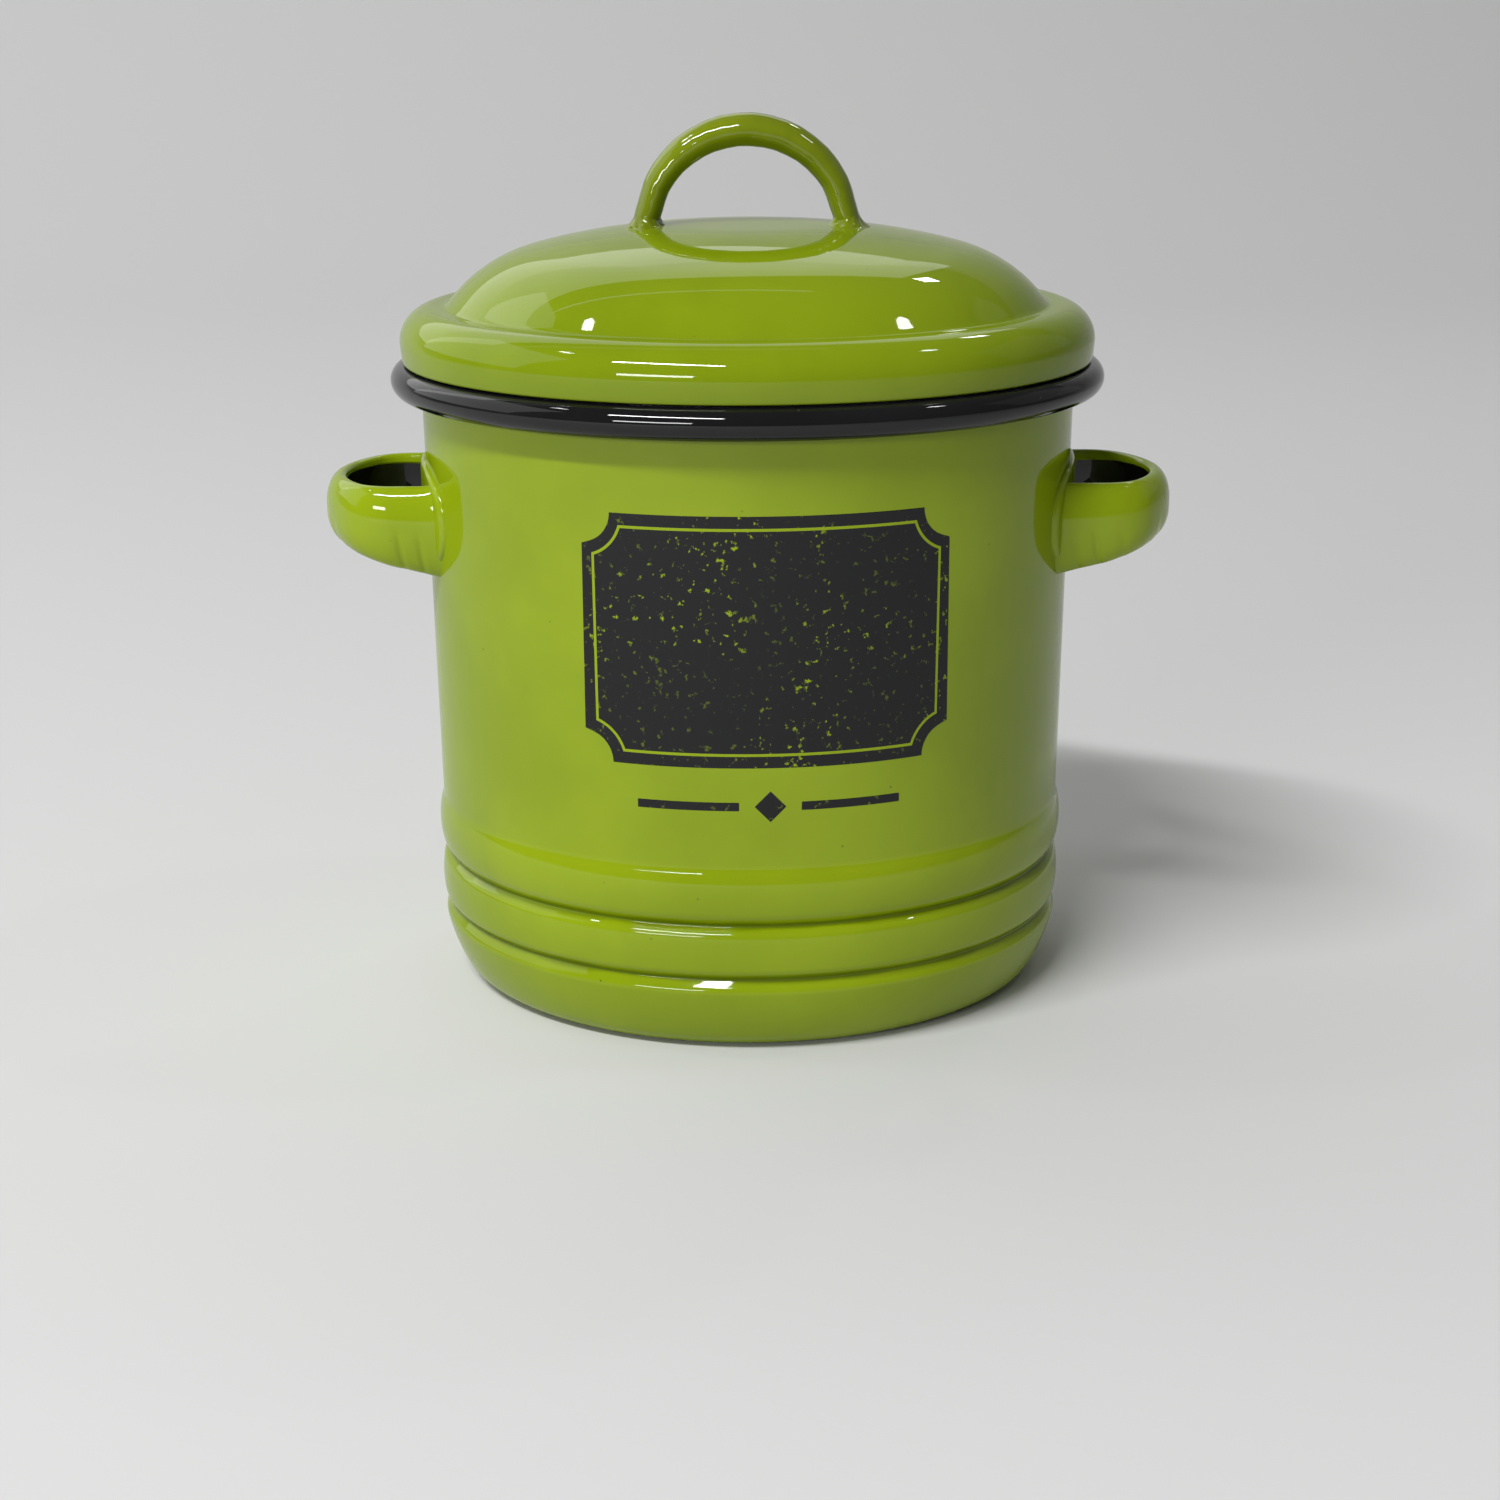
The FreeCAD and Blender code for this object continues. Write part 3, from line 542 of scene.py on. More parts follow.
def make_rim():
    """The rolled ring: up from the wall, round its outer side and back over the mouth."""
    inside = (WALL_TOP_RADIUS - WALL) / MM
    top = RIM_TOP / MM
    middle = top - RIM_ROUND
    crest = inside + RIM_ROUND
    outer = RIM_REACH / MM - RIM_ROUND
    wall = WALL_TOP_RADIUS / MM
    points = outline([
        (wall, middle, 0),
        (wall - RIM_TUCK, middle - RIM_BACK, 0),
        (outer, middle - RIM_ROUND, 0.5, RIM_UNDER_BEND, 1),
        (RIM_REACH / MM, middle, 0, RIM_ROUND, 1),
        (outer, top, 0, RIM_ROUND, 1),
        (crest, top, 0),
        (inside, middle, 0, RIM_ROUND, 1),
        (wall, middle, 0),
    ], FINE_BEND_STEPS)
    rim = lathe("rim_rolled_bead", points)
    dress(rim, black_enamel)
    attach(rim, "pot")
    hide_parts("rim_bead")


# Lid, in millimetres

LID_SHEET = 1.1
CROWN_BEND = 127
CROWN_TURN = math.radians(15)
SHOULDER_BEND = 30
SHOULDER_TURN = math.radians(48)
VALLEY_BEND = 1.5
ROLL_BEND = 6.86
LAND_WIDTH = 1.86
CROWN_RISE = 15.75
EDGE_DRAFT = 0.35
EDGE_STEPS = 8
ROLL_CENTRE = LID_REACH / MM - ROLL_BEND
VALLEY_CENTRE = ROLL_CENTRE - LAND_WIDTH


def lid_flat():
    """What is left for the flat crown once the round and sloping parts have their run."""
    drop = (CROWN_BEND * (1 - math.cos(CROWN_TURN))
            + SHOULDER_BEND * (math.cos(CROWN_TURN) - math.cos(SHOULDER_TURN)))
    slope = (CROWN_RISE - drop) / math.tan(SHOULDER_TURN)
    bends = (CROWN_BEND * math.sin(CROWN_TURN)
             + SHOULDER_BEND * (math.sin(SHOULDER_TURN) - math.sin(CROWN_TURN)))
    return VALLEY_CENTRE - VALLEY_BEND * math.tan(SHOULDER_TURN / 2) - slope - bends


CROWN_FLAT = lid_flat()


def on_bend(out, up, bend, turn):
    """The point of a bend about (out, up) that lies a turn away from straight up."""
    return out + bend * math.sin(turn), up + bend * math.cos(turn)


def lid_run(inset):
    """The lid from the middle out to its rolled edge, set down by the sheet."""
    top = LID_TOP / MM
    land = top - CROWN_RISE
    crown = CROWN_BEND - inset
    shoulder = SHOULDER_BEND - inset
    valley = VALLEY_BEND + inset
    crown_up = top - CROWN_BEND
    shoulder_out, shoulder_up = on_bend(CROWN_FLAT, crown_up, CROWN_BEND - SHOULDER_BEND,
                                        CROWN_TURN)
    rim = LID_REACH / MM - inset
    return [
        (0, top - inset, 0),
        (CROWN_FLAT, top - inset, 0),
        (*on_bend(CROWN_FLAT, crown_up, crown, CROWN_TURN), 0, crown, -1),
        (*on_bend(shoulder_out, shoulder_up, shoulder, SHOULDER_TURN), 0, shoulder, -1),
        (*on_bend(VALLEY_CENTRE, land + VALLEY_BEND, -valley, SHOULDER_TURN), 0.6),
        (VALLEY_CENTRE, land - inset, 0.5, valley, 1),
        (ROLL_CENTRE, land - inset, 0),
        (rim, land - ROLL_BEND, 0, ROLL_BEND - inset, -1),
        (rim - EDGE_DRAFT, LID_LOW / MM + LID_SHEET / 2, 0),
    ]


def make_lid():
    outside = outline(lid_run(0), FINE_BEND_STEPS)
    inside = outline(lid_run(LID_SHEET), FINE_BEND_STEPS)
    edge = arc_run(outside[-1], inside[-1], LID_SHEET * MM / 2, -1, EDGE_STEPS)
    lid = lathe("lid_pressed_dome", outside + edge + inside[::-1][1:])
    dress(lid, lid_enamel, ground_coat)
    ground_coat_faces(lid, lambda radial, up: radial + up < 0)
    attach(lid, "lid")
    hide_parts("lid_shell")


def dome_height(radius):
    """The height of the lid's upper surface inside the shoulder."""
    out = max(radius / MM - CROWN_FLAT, 0)
    return LID_TOP - (CROWN_BEND - math.sqrt(CROWN_BEND ** 2 - out ** 2)) * MM


# Patches that lie on the wall

def wall_patch(name, facing, half_width, low, high, proud, sunk, edge, columns, rows, finish):
    """A thin closed patch that follows the wall; half_width is a function of height.

    Its front stands proud of the wall with an edge rounded over its reach; its back is sunk.
    """
    def place(across, along):
        front = across <= 0.5
        share = 4 * across - 1 if front else 3 - 4 * across
        share = math.sin(share * math.pi / 2)
        height = low + (high - low) * (0.5 - 0.5 * math.cos(math.pi * along))
        left, right = half_width(height)
        sideways = (left + right) / 2 + share * (right - left) / 2
        inwards = min((1 - abs(share)) * (right - left) / 2, height - low, high - height)
        inwards = min(max(inwards, 0) / edge, 1)
        lift = -sunk
        if front:
            lift += (proud + sunk) * math.sqrt(max(1 - (1 - inwards) ** 2, 0))
        radius = wall_radius(height)
        angle = facing + sideways / radius
        away = Vector((math.cos(angle), math.sin(angle), 0))
        return away * (radius + lift) + Vector((0, 0, height))
    return shaped_grid(name, columns, rows, place, (finish,))


PLATE_THICK = 1.1 * MM
PLATE_EDGE = 2.4 * MM
PLATE_ROUNDNESS = 2.8
PLATE_SHARE = 0.92
PLATE_SUNK = 0.2 * MM
PLATE_GRID = (120, 48)


def plate_half_width(height):
    """The handle plate's half width: a full oval, widest at its middle."""
    reach = WALL_TOP_RADIUS * math.asin(PLATE_HALF_WIDTH / (WALL_TOP_RADIUS + PLATE_THICK))
    reach *= PLATE_SHARE
    middle = (PLATE_LOW + PLATE_TOP) / 2
    share = min(abs(height - middle) / (PLATE_TOP - middle), 1)
    reach *= max(1 - share ** PLATE_ROUNDNESS, 0) ** (1 / PLATE_ROUNDNESS)
    return -reach, reach


# Side handles

STRAP_HALF_WIDTH = 24 * MM
STRAP_NOSE_BEND = 34 * MM
STRAP_CORNER_BEND = 12 * MM
STRAP_HEIGHT = 17.3 * MM
STRAP_LOW_RISE = 5 * MM
STRAP_SHEET = 1.1 * MM
STRAP_ROOT = 61.3 * MM
STRAP_LIFT = 0.7 * MM
STRAP_FLARE = 0.4 * MM
STRAP_FLARE_RUN = 6.5 * MM
STRAP_STATIONS = 220
# Rolled edges: how far in and down the face bends, then the roll and its lip
TOP_EDGE = (3.2 * MM, 7.8 * MM, 1.1 * MM, 1.9 * MM)
LOW_EDGE = (3.4 * MM, 7.0 * MM, 1.2 * MM, 2.6 * MM)
FACE_STEPS = 9
ROLL_STEPS = 5
# The lip's tip, in sheet thicknesses back and up from it
TIP_BACK = 0.5
TIP_UP = 0.4


def strap_route():
    """The strap's outer face from above: its total length and a function of distance."""
    nose_centre = STRAP_REACH - STRAP_NOSE_BEND
    corner_up = STRAP_HALF_WIDTH - STRAP_CORNER_BEND
    apart = STRAP_NOSE_BEND - STRAP_CORNER_BEND
    corner_centre = nose_centre + math.sqrt(apart ** 2 - corner_up ** 2)
    nose_angle = math.asin(corner_up / apart)
    side = corner_centre - STRAP_ROOT
    corner = STRAP_CORNER_BEND * (math.pi / 2 - nose_angle)
    nose = STRAP_NOSE_BEND * nose_angle
    half_length = side + corner + nose

    def at(distance):
        """The place and outward direction at a distance from one root."""
        from_nose = abs(distance - half_length)
        sign = 1 if distance > half_length else -1
        if from_nose <= nose:
            angle = from_nose / STRAP_NOSE_BEND
            centre, bend = Vector((nose_centre, 0)), STRAP_NOSE_BEND
        elif from_nose <= nose + corner:
            angle = nose_angle + (from_nose - nose) / STRAP_CORNER_BEND
            centre, bend = Vector((corner_centre, corner_up)), STRAP_CORNER_BEND
        else:
            out = corner_centre - (from_nose - nose - corner)
            return Vector((out, sign * STRAP_HALF_WIDTH)), Vector((0, sign))
        away = Vector((math.cos(angle), math.sin(angle)))
        place = centre + away * bend
        return Vector((place.x, place.y * sign)), Vector((away.x, away.y * sign))
    return 2 * half_length, at


def rolled_edge(inwards, down, roll, lip):
    """One edge of the strap as (inset, drop, hidden) from its face round to its hollow side."""
    points = []
    for step in range(FACE_STEPS + 1):
        turn = math.pi / 2 * step / FACE_STEPS
        points.append((inwards * (1 - math.cos(turn)), down * (1 - math.sin(turn)), False))
    for step in range(1, ROLL_STEPS + 1):
        turn = math.pi / 2 * step / ROLL_STEPS
        points.append((inwards + roll * math.sin(turn), roll * (1 - math.cos(turn)), False))
    back = inwards + roll
    points.append((back, lip, False))
    points.append((back - STRAP_SHEET * TIP_BACK, lip + STRAP_SHEET * TIP_UP, False))
    points.append((back - STRAP_SHEET, lip, True))
    points.append((back - STRAP_SHEET, roll, True))
    for step in range(FACE_STEPS, -1, -1):
        turn = math.pi / 2 * step / FACE_STEPS
        points.append((STRAP_SHEET + (inwards - STRAP_SHEET) * (1 - math.cos(turn)),
                       STRAP_SHEET + (down - STRAP_SHEET) * (1 - math.sin(turn)), True))
    return points


# Where a point of the section has its height from
FROM_TOP, FROM_BOTTOM, BETWEEN = range(3)
FLAT_STRIPS = 5


def strap_section():
    """The rolled strap's closed section as (inset, drop, where from, hidden) points."""
    section = [(inset, drop, FROM_TOP, dark) for inset, drop, dark in rolled_edge(*TOP_EDGE)]
    low = rolled_edge(*LOW_EDGE)
    section += [(inset, drop, FROM_BOTTOM, dark) for inset, drop, dark in reversed(low)]
    section += [(0, strip / FLAT_STRIPS, BETWEEN, False) for strip in range(1, FLAT_STRIPS)]
    return section + [section[0]]


def strap_height(end, drop, bottom, top):
    """The height of a point of the section, between the strap's two edges."""
    squeeze = (top - bottom) / STRAP_HEIGHT
    if end == FROM_TOP:
        return top - drop * squeeze
    if end == FROM_BOTTOM:
        return bottom + drop * squeeze
    low, high = bottom + LOW_EDGE[1] * squeeze, top - TOP_EDGE[1] * squeeze
    return low + (high - low) * drop


# Each faint fold line: its share of the way along, its width and its depth in millimetres
CREASES = ((0.055, 0.6, 0.40), (0.105, 0.6, 0.50), (0.17, 1.2, 0.20), (0.34, 1.6, 0.18),
           (0.66, 1.5, 0.18), (0.895, 0.6, 0.45), (0.945, 0.6, 0.40))
CREASE_LEAN = 3 * MM
CREASE_MIDDLE = 0.25
CREASE_TOP = 0.5
CREASE_FADE = 0.2


def crease_depth(distance, length, rise):
    """How far a fold line in the strap sinks; the lines run over its lower half."""
    depth = 0
    for share, width, deep in CREASES:
        lean = CREASE_LEAN * (rise - CREASE_MIDDLE)
        away = (distance - share * length + lean) / (width * MM)
        depth += deep * MM * math.exp(-away * away)
    return depth * max(min((CREASE_TOP - rise) / CREASE_FADE, 1), 0)


def make_strap():
    """One strap: its section carried along the route, with both ends closed in the wall."""
    length, at = strap_route()
    section = strap_section()
    last = len(section) - 1
    rise_run = STRAP_REACH - WALL_LOW_RADIUS

    def place(across, along):
        inset, drop, end, hidden = section[round(across * last)]
        distance = length * along
        spot, away = at(distance)
        top = STRAP_TOP + STRAP_LIFT
        bottom = (STRAP_TOP - STRAP_HEIGHT
                  + (spot.x - WALL_LOW_RADIUS) * STRAP_LOW_RISE / rise_run)
        height = strap_height(end, drop, bottom, top)
        rise = (height - bottom) / (top - bottom)
        near_root = max(1 - min(distance, length - distance) / STRAP_FLARE_RUN, 0)
        flare = near_root ** 3 * STRAP_FLARE
        height += flare * max(2 * rise - 1, 0)
        if inset < TOP_EDGE[0] and not hidden:
            inset += crease_depth(distance, length, rise) - flare
        if along in (0, 1):
            inset, height = STRAP_SHEET * 2, (top + bottom) / 2
        x, y = spot.x - away.x * inset, spot.y - away.y * inset
        in_wall = math.sqrt((wall_radius(height) - WALL / 2) ** 2 - y ** 2)
        x += (in_wall - STRAP_ROOT) * near_root
        return Vector((x, y, height))

    def hollow_side(across):
        column = int(across * last)
        return section[column][3] or section[column + 1][3]

    return shaped_grid("handle_right_strap", last, STRAP_STATIONS, place,
                       (green_enamel, ground_coat), hollow_side)


def finish_handles():
    strap = make_strap()
    plate = wall_patch("handle_right_wall_plate", 0, plate_half_width, PLATE_LOW, PLATE_TOP,
                       PLATE_THICK, PLATE_SUNK, PLATE_EDGE, *PLATE_GRID, green_enamel)
    pairs = [(strap, "handle_right"), (plate, "handle_right_plate")]
    pairs += [(mirror_copy(strap, "handle_left_strap"), "handle_left"),
              (mirror_copy(plate, "handle_left_wall_plate"), "handle_left_plate")]
    for piece, node in pairs:
        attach(piece, "pot")
        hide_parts(node)


# Lid handle

ARCH_FOOT = 21.6 * MM
ARCH_TOP_BEND = 20.4 * MM
ARCH_SHOULDER = 17.2 * MM
ARCH_CORNER_BEND = 13.5 * MM
ARCH_WIDTH = 7.1 * MM
ARCH_LEG_WIDTH = 5.5 * MM
ARCH_LEAN = 0.25
ARCH_DEPTH = 9 * MM
ARCH_SUNK = 3 * MM
ARCH_INNER = 0.93
ARCH_STATIONS = 120
ARCH_ROUND = 36


def arch_route():
    """The arch's centre line: its length and a function of distance from one foot."""
    top = ARCH_TOP - ARCH_WIDTH / 2
    crown_centre = Vector((0, top - ARCH_TOP_BEND))
    shoulder_angle = math.asin(ARCH_SHOULDER / ARCH_TOP_BEND)
    lean_in = Vector((math.sin(shoulder_angle), math.cos(shoulder_angle)))
    corner_centre = crown_centre + lean_in * (ARCH_TOP_BEND - ARCH_CORNER_BEND)
    toe = Vector((ARCH_FOOT, LID_TOP - ARCH_SUNK))
    run = corner_centre - toe
    leg = math.sqrt(run.length ** 2 - ARCH_CORNER_BEND ** 2)
    lean = math.atan2(run.y, run.x) - math.atan2(ARCH_CORNER_BEND, leg)
    knee_angle = math.pi / 2 - (lean - math.pi / 2)
    corner = ARCH_CORNER_BEND * (knee_angle - shoulder_angle)
    crown = ARCH_TOP_BEND * shoulder_angle
    half_length = leg + corner + crown

    def at(distance):
        """The place and outward direction, in the upright plane through both feet."""
        from_top = abs(distance - half_length)
        sign = 1 if distance < half_length else -1
        if from_top <= crown:
            angle = from_top / ARCH_TOP_BEND
            centre, bend = crown_centre, ARCH_TOP_BEND
        else:
            angle = min(shoulder_angle + (from_top - crown) / ARCH_CORNER_BEND, knee_angle)
            centre, bend = corner_centre, ARCH_CORNER_BEND
        away = Vector((math.sin(angle), math.cos(angle)))
        spot = centre + away * bend
        if from_top > crown + corner:
            spot += Vector((away.y, -away.x)) * (from_top - crown - corner)
        return Vector((spot.x * sign, spot.y)), Vector((away.x * sign, away.y))
    return 2 * half_length, at


# The arch's waves: how many along it and how many round it, where each starts and its share
ARCH_WAVES = ((9, 2, 0, 1.0), (23, -1, 1, 0.6))
ARCH_WOBBLE = 0.012


def wobble(along, angle):
    """A faint hand-formed unevenness, the same at every run."""
    waves = sum(share * math.sin(lengthwise * along + around * angle + start)
                for lengthwise, around, start, share in ARCH_WAVES)
    return ARCH_WOBBLE * waves / sum(wave[-1] for wave in ARCH_WAVES)


def make_arch():
    """The arch: an oval section, slimmer in the legs, with both ends closed in the lid."""
    length, at = arch_route()

    def place(across, along):
        spot, away = at(length * along)
        angle = across * TURN
        grow = 0 if along in (0, 1) else 1 - ARCH_WOBBLE + wobble(along * TURN, angle)
        inner = ARCH_INNER if math.cos(angle) < 0 else 1
        width = ARCH_LEG_WIDTH + (ARCH_WIDTH - ARCH_LEG_WIDTH) * math.sin(math.pi * along) ** 2
        out = math.cos(angle) * width / 2 * grow * inner
        side = math.sin(angle) * ARCH_DEPTH / 2 * grow
        return Vector((spot.x + away.x * out, side, spot.y + away.y * out))

    arch = shaped_grid("lid_arch_handle", ARCH_ROUND, ARCH_STATIONS, place, (arch_enamel,))
    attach(arch, "lid")
    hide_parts("lid_handle")


WELD_FOOT = ARCH_FOOT - ARCH_LEAN * ARCH_SUNK
WELD_RISE = 2.2 * MM
WELD_SPREAD = 1.5 * MM
WELD_SUNK = 0.4 * MM
WELD_OVERLAP = 0.1 * MM
WELD_ROUND = 96
WELD_ROWS = 16
# Shares of the collar's rows: before it spreads, while it does, and where it turns under
WELD_START = 0.1
WELD_RUN = 0.75
WELD_UNDER = 0.9
WELD_FLARE = 1.5
WELD_FALL = 1.3
# The collar's lumps: how many round it, their share of its reach, and how they are turned
WELD_LUMPS = ((4, 0.16, 1), (7, 0.10, 2))
WELD_LUMP_RISE = 0.6
WELD_BEADS = 13
WELD_BEAD_SHARE = 0.06
WELD_BEAD_SLANT = 9
# Each foot's side, and how far its lumps are turned
WELD_SIDES = ((1, 0.7), (-1, 2.9))


def make_weld(side, phase):
    """The lumpy collar of weld metal round one foot of the arch."""
    leg_out = ARCH_LEG_WIDTH / 2 - WELD_OVERLAP
    leg_side = ARCH_DEPTH / 2 - WELD_OVERLAP

    def place(across, along):
        angle = across * TURN
        lumps = sum(share * math.sin(number * angle + turned * phase)
                    for number, share, turned in WELD_LUMPS)
        slant = WELD_BEAD_SLANT * along + phase
        beads = WELD_BEAD_SHARE * math.sin(WELD_BEADS * angle + slant)
        outwards = max(min((along - WELD_START) / WELD_RUN, 1), 0)
        reach = WELD_SPREAD * (1 + lumps + beads) * outwards ** WELD_FLARE
        rise = WELD_RISE * (1 + WELD_LUMP_RISE * lumps + beads) * (1 - outwards) ** WELD_FALL
        if along > WELD_UNDER:
            rise = -WELD_SUNK
        closed = 0 if along in (0, 1) else 1
        out = (leg_out + reach) * math.cos(angle) * closed - ARCH_LEAN * max(rise, 0)
        sideways = (leg_side + reach) * math.sin(angle) * closed
        x = side * (WELD_FOOT + out)
        return Vector((x, sideways, dome_height(math.hypot(x, sideways)) + rise))
    return shaped_grid("weld", WELD_ROUND, WELD_ROWS, place, (arch_enamel,))


def make_welds():
    collars = [make_weld(side, phase) for side, phase in WELD_SIDES]
    welds = join("lid_handle_weld_collars", collars)
    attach(welds, "lid")
    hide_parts("lid_handle_welds")


# Worn print on the front: a blank label with two rules and a diamond

PRINT_PROUD = 0.05 * MM
PRINT_EDGE = 0.1 * MM
LABEL_LOW = 59 * MM
LABEL_TOP = 108 * MM
LABEL_LEFT = -33 * MM
LABEL_RIGHT = 41 * MM
LABEL_NOTCH = 6 * MM
LABEL_MIDDLE = (LABEL_LOW + LABEL_TOP) / 2
LABEL_CENTRE = (LABEL_LEFT + LABEL_RIGHT) / 2
LABEL_GRID = (120, 90)
LINE_INSET = 2.6 * MM
LINE_WIDTH = 0.55 * MM
RULE_LOW = 50.4 * MM
RULE_HIGH = 52.2 * MM
RULE_MIDDLE = (RULE_LOW + RULE_HIGH) / 2
RULE_ENDS = ((-26 * MM, -6 * MM), (6 * MM, 26 * MM))
RULE_GRID = (60, 6)
DIAMOND_REACH = 3.1 * MM
DIAMOND_TIP = 0.02 * MM
DIAMOND_GRID = (24, 24)
FRONT = -math.pi / 2
SPECK_SPAN = (0.60, 0.66)
PATCH_SPAN = (0.42, 0.62)
FEWEST_SPECKS = 0.25
PRINT_ROUGHNESS = (0.3, 0.5)
PRINT_COAT = 0.5
PRINT_COAT_ROUGHNESS = 0.06


def worn_black():
    """Black print on green enamel, rubbed through in specks, with a thin open line."""
    material, tree, shader = new_material("worn_black_print")
    point = object_point(tree)
    specks = spread(tree, noise(tree, point, scale=700, detail=5, rough=0.65), *SPECK_SPAN)
    patches = spread(tree, noise(tree, point, scale=45, detail=3), *PATCH_SPAN, FEWEST_SPECKS, 1)
    worn = math_node(tree, "MULTIPLY", specks, patches)
    shown = math_node(tree, "MAXIMUM", worn, label_line(tree, point))
    colour = blend_colours(tree, shown, BLACK_THIN, GREEN_THIN)
    tree.links.new(colour, shader.inputs["Base Color"])
    roughness = spread(tree, noise(tree, point, scale=300), *NOISE_SPAN, *PRINT_ROUGHNESS)
    tree.links.new(roughness, shader.inputs["Roughness"])
    tree.links.new(slow_waves(tree, point), shader.inputs["Normal"])
    glass_coat(shader, PRINT_COAT, PRINT_COAT_ROUGHNESS)
    return material


def label_line(tree, point):
    """1 on a thin line that runs just inside the label's edge."""
    parts = tree.nodes.new("ShaderNodeSeparateXYZ")
    tree.links.new(point, parts.inputs["Vector"])
    forwards = math_node(tree, "MULTIPLY", parts.outputs["Y"], -1)
    angle = math_node(tree, "ARCTAN2", parts.outputs["X"], forwards)
    sideways = math_node(tree, "MULTIPLY", angle, wall_radius(LABEL_MIDDLE))
    past_side = math_node(tree, "SUBTRACT", apart(tree, sideways, LABEL_CENTRE),
                          (LABEL_RIGHT - LABEL_LEFT) / 2)
    past_end = math_node(tree, "SUBTRACT", apart(tree, parts.outputs["Z"], LABEL_MIDDLE),
                         (LABEL_TOP - LABEL_LOW) / 2)
    squares = math_node(tree, "ADD", math_node(tree, "POWER", past_side, 2),
                        math_node(tree, "POWER", past_end, 2))
    scoop = math_node(tree, "SUBTRACT", LABEL_NOTCH, math_node(tree, "SQRT", squares))
    edge = math_node(tree, "MAXIMUM", math_node(tree, "MAXIMUM", past_side, past_end), scoop)
    off = apart(tree, edge, -LINE_INSET)
    return math_node(tree, "LESS_THAN", off, LINE_WIDTH / 2)


def label_half_width(height):
    """The label's sides: straight, with its corners scooped away."""
    to_end = min(height - LABEL_LOW, LABEL_TOP - height)
    scoop = 0
    if to_end < LABEL_NOTCH:
        scoop = math.sqrt(max(LABEL_NOTCH ** 2 - to_end ** 2, 0))
    return LABEL_LEFT + scoop, LABEL_RIGHT - scoop


def rule_half_width(left, right):
    return lambda height: (left, right)


def diamond_half_width(height):
    reach = max(DIAMOND_REACH - abs(height - RULE_MIDDLE), DIAMOND_TIP)
    return LABEL_CENTRE - reach, LABEL_CENTRE + reach


def printed(name, half_width, low, high, grid, ink):
    """A flat of print on the wall's front."""
    return wall_patch(name, FRONT, half_width, low, high, PRINT_PROUD, PRINT_PROUD, PRINT_EDGE,
                      *grid, ink)


def make_print():
    ink = worn_black()
    label = printed("front_label", label_half_width, LABEL_LOW, LABEL_TOP, LABEL_GRID, ink)
    rules = []
    for left, right in RULE_ENDS:
        sides = rule_half_width(LABEL_CENTRE + left, LABEL_CENTRE + right)
        rules.append(printed("rule", sides, RULE_LOW, RULE_HIGH, RULE_GRID, ink))
    diamond = printed("diamond", diamond_half_width, RULE_MIDDLE - DIAMOND_REACH,
                      RULE_MIDDLE + DIAMOND_REACH, DIAMOND_GRID, ink)
    print_piece = join("front_worn_print", [label, diamond] + rules)
    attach(print_piece, "pot")


def dress_cad_nodes():
    """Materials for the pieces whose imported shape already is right."""
    for node, material in (("strainer_rim", steel), ("strainer_mesh", steel),
                           ("lid_skirt", ground_coat)):
        dress(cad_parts[node], material)


# Stage

STAGE_COLOUR = (0.64, 0.64, 0.64)
STAGE_REACH = 5.0
STAGE_FRONT = -4.0
STAGE_TOP = 1.8
SWEEP_BEND = 1.4
SWEEP_START = 1.2
SWEEP_STEPS = 24


def make_stage():
    """A paper floor that sweeps up into the backdrop."""
    places = [(-STAGE_REACH, STAGE_FRONT, 0), (-STAGE_REACH, SWEEP_START, 0)]
    for step in range(1, SWEEP_STEPS + 1):
        angle = math.pi / 2 * step / SWEEP_STEPS
        places.append((-STAGE_REACH, SWEEP_START + SWEEP_BEND * math.sin(angle),
                       SWEEP_BEND * (1 - math.cos(angle))))
    places.append((-STAGE_REACH, SWEEP_START + SWEEP_BEND, STAGE_TOP))
    floor = draw_line("stage_sweep", places)
    bpy.ops.mesh.select_all(action="SELECT")
    bpy.ops.mesh.extrude_region_move(TRANSFORM_OT_translate={"value": (2 * STAGE_REACH, 0, 0)})
    bpy.ops.object.mode_set(mode="OBJECT")
    bpy.ops.object.shade_smooth()
    material, tree, shader = new_material("stage_paper")
    shader.inputs["Base Color"].default_value = STAGE_COLOUR + (1.0,)
    shader.inputs["Roughness"].default_value = 0.9
    shader.inputs["Specular IOR Level"].default_value = 0.1
    dress(floor, material)


def add_lamp(name, place, aim, size, power):
    """A soft rectangular lamp that points at a spot."""
    bpy.ops.object.select_all(action="DESELECT")
    bpy.ops.object.light_add(type="AREA", location=place)
    lamp = bpy.context.object
    lamp.name = name
    lamp.data.shape = "RECTANGLE"
    lamp.data.size, lamp.data.size_y = size
    lamp.data.energy = power
    lamp.rotation_euler = (Vector(aim) - Vector(place)).to_track_quat("-Z", "Y").to_euler()


SKY_LIGHT = 0.11
SKY_SEEN = 0.60
MIDDLE = (0, 0, 0.09)
OVERHEAD = (0, 0, 0.2)
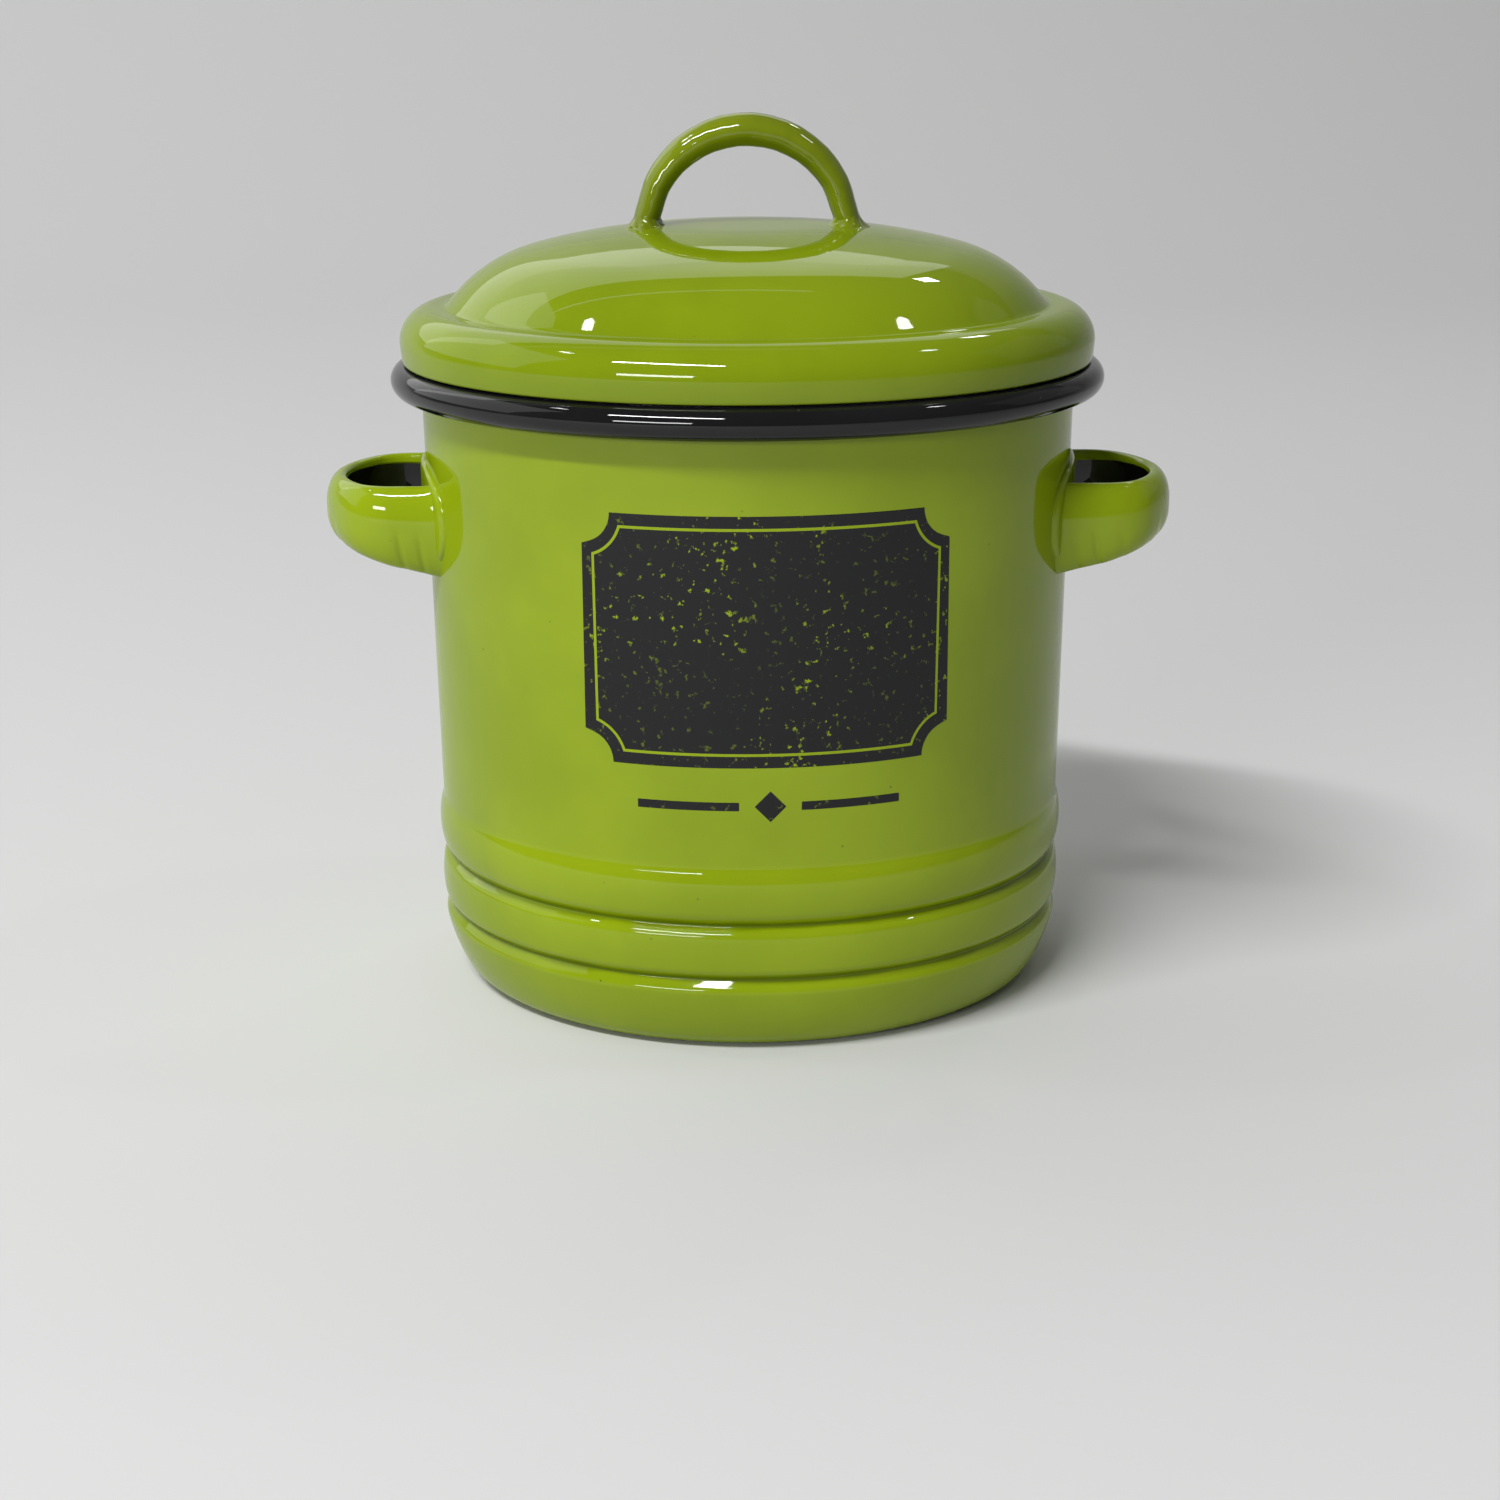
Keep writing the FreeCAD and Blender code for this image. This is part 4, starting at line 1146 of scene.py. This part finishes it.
# Each lamp's name, its place, where it points, its width and height, and its watts
LAMPS = (
    ("key_front_left", (-1.0, -1.78, 0.62), MIDDLE, (0.9, 0.2), 14),
    ("front_strip", (-0.8, -1.3, 1.9), MIDDLE, (1.3, 0.12), 46),
    ("back_wall", (-0.8, 2.2, 1.6), (-0.3, 0, 0.2), (3.4, 1.9), 22),
    ("left_wall", (-2.2, 0.6, 1.3), OVERHEAD, (2.6, 1.9), 14),
    ("right_wall", (2.4, 1.0, 1.2), OVERHEAD, (2.0, 1.6), 1.2),
    ("backdrop_wash", (-0.5, 0.6, 1.7), (-0.4, 2.6, 0.6), (1.6, 0.3), 2),
    ("glint_right", (0.93, 0.08, 1.45), MIDDLE, (0.1, 0.1), 0.8),
    ("glint_back_right", (0.73, 1.29, 1.47), MIDDLE, (0.12, 0.12), 1.2),
    ("glint_left", (-0.93, 0.07, 1.45), MIDDLE, (0.16, 0.06), 0.8),
)


def light_up():
    """A pale sky, brighter to the camera than to the object, and the lamps."""
    world = bpy.data.worlds.new("studio")
    bpy.context.scene.world = world
    world.use_nodes = True
    sky = world.node_tree.nodes["Background"]
    seen = world.node_tree.nodes.new("ShaderNodeLightPath")
    sky.inputs["Color"].default_value = (1.0, 1.0, 1.0, 1.0)
    strength = spread(world.node_tree, seen.outputs["Is Camera Ray"], 0, 1, SKY_LIGHT, SKY_SEEN)
    world.node_tree.links.new(strength, sky.inputs["Strength"])
    for lamp in LAMPS:
        add_lamp(*lamp)


CAMERA_PLACE = (0, -0.6199, 0.2116)
CAMERA_PITCH = 0.2624
CAMERA_ROLL = -0.0052
CAMERA_LENS = 72.257
CAMERA_SENSOR = 36
CAMERA_SHIFT = 0.00037
CAMERA_NEAR = 0.01


def set_camera():
    bpy.ops.object.select_all(action="DESELECT")
    bpy.ops.object.camera_add(location=CAMERA_PLACE)
    camera = bpy.context.object
    tilt = Euler((math.pi / 2 - CAMERA_PITCH, 0, 0)).to_matrix()
    roll = Euler((0, 0, CAMERA_ROLL)).to_matrix()
    camera.rotation_euler = (tilt @ roll).to_euler()
    camera.data.lens = CAMERA_LENS
    camera.data.sensor_width = CAMERA_SENSOR
    camera.data.shift_x = CAMERA_SHIFT
    camera.data.clip_start = CAMERA_NEAR
    bpy.context.scene.camera = camera


make_pot()
make_rim()
finish_handles()
make_print()
make_lid()
make_arch()
make_welds()
dress_cad_nodes()
make_stage()
light_up()
set_camera()
bpy.context.scene.view_settings.view_transform = "Standard"
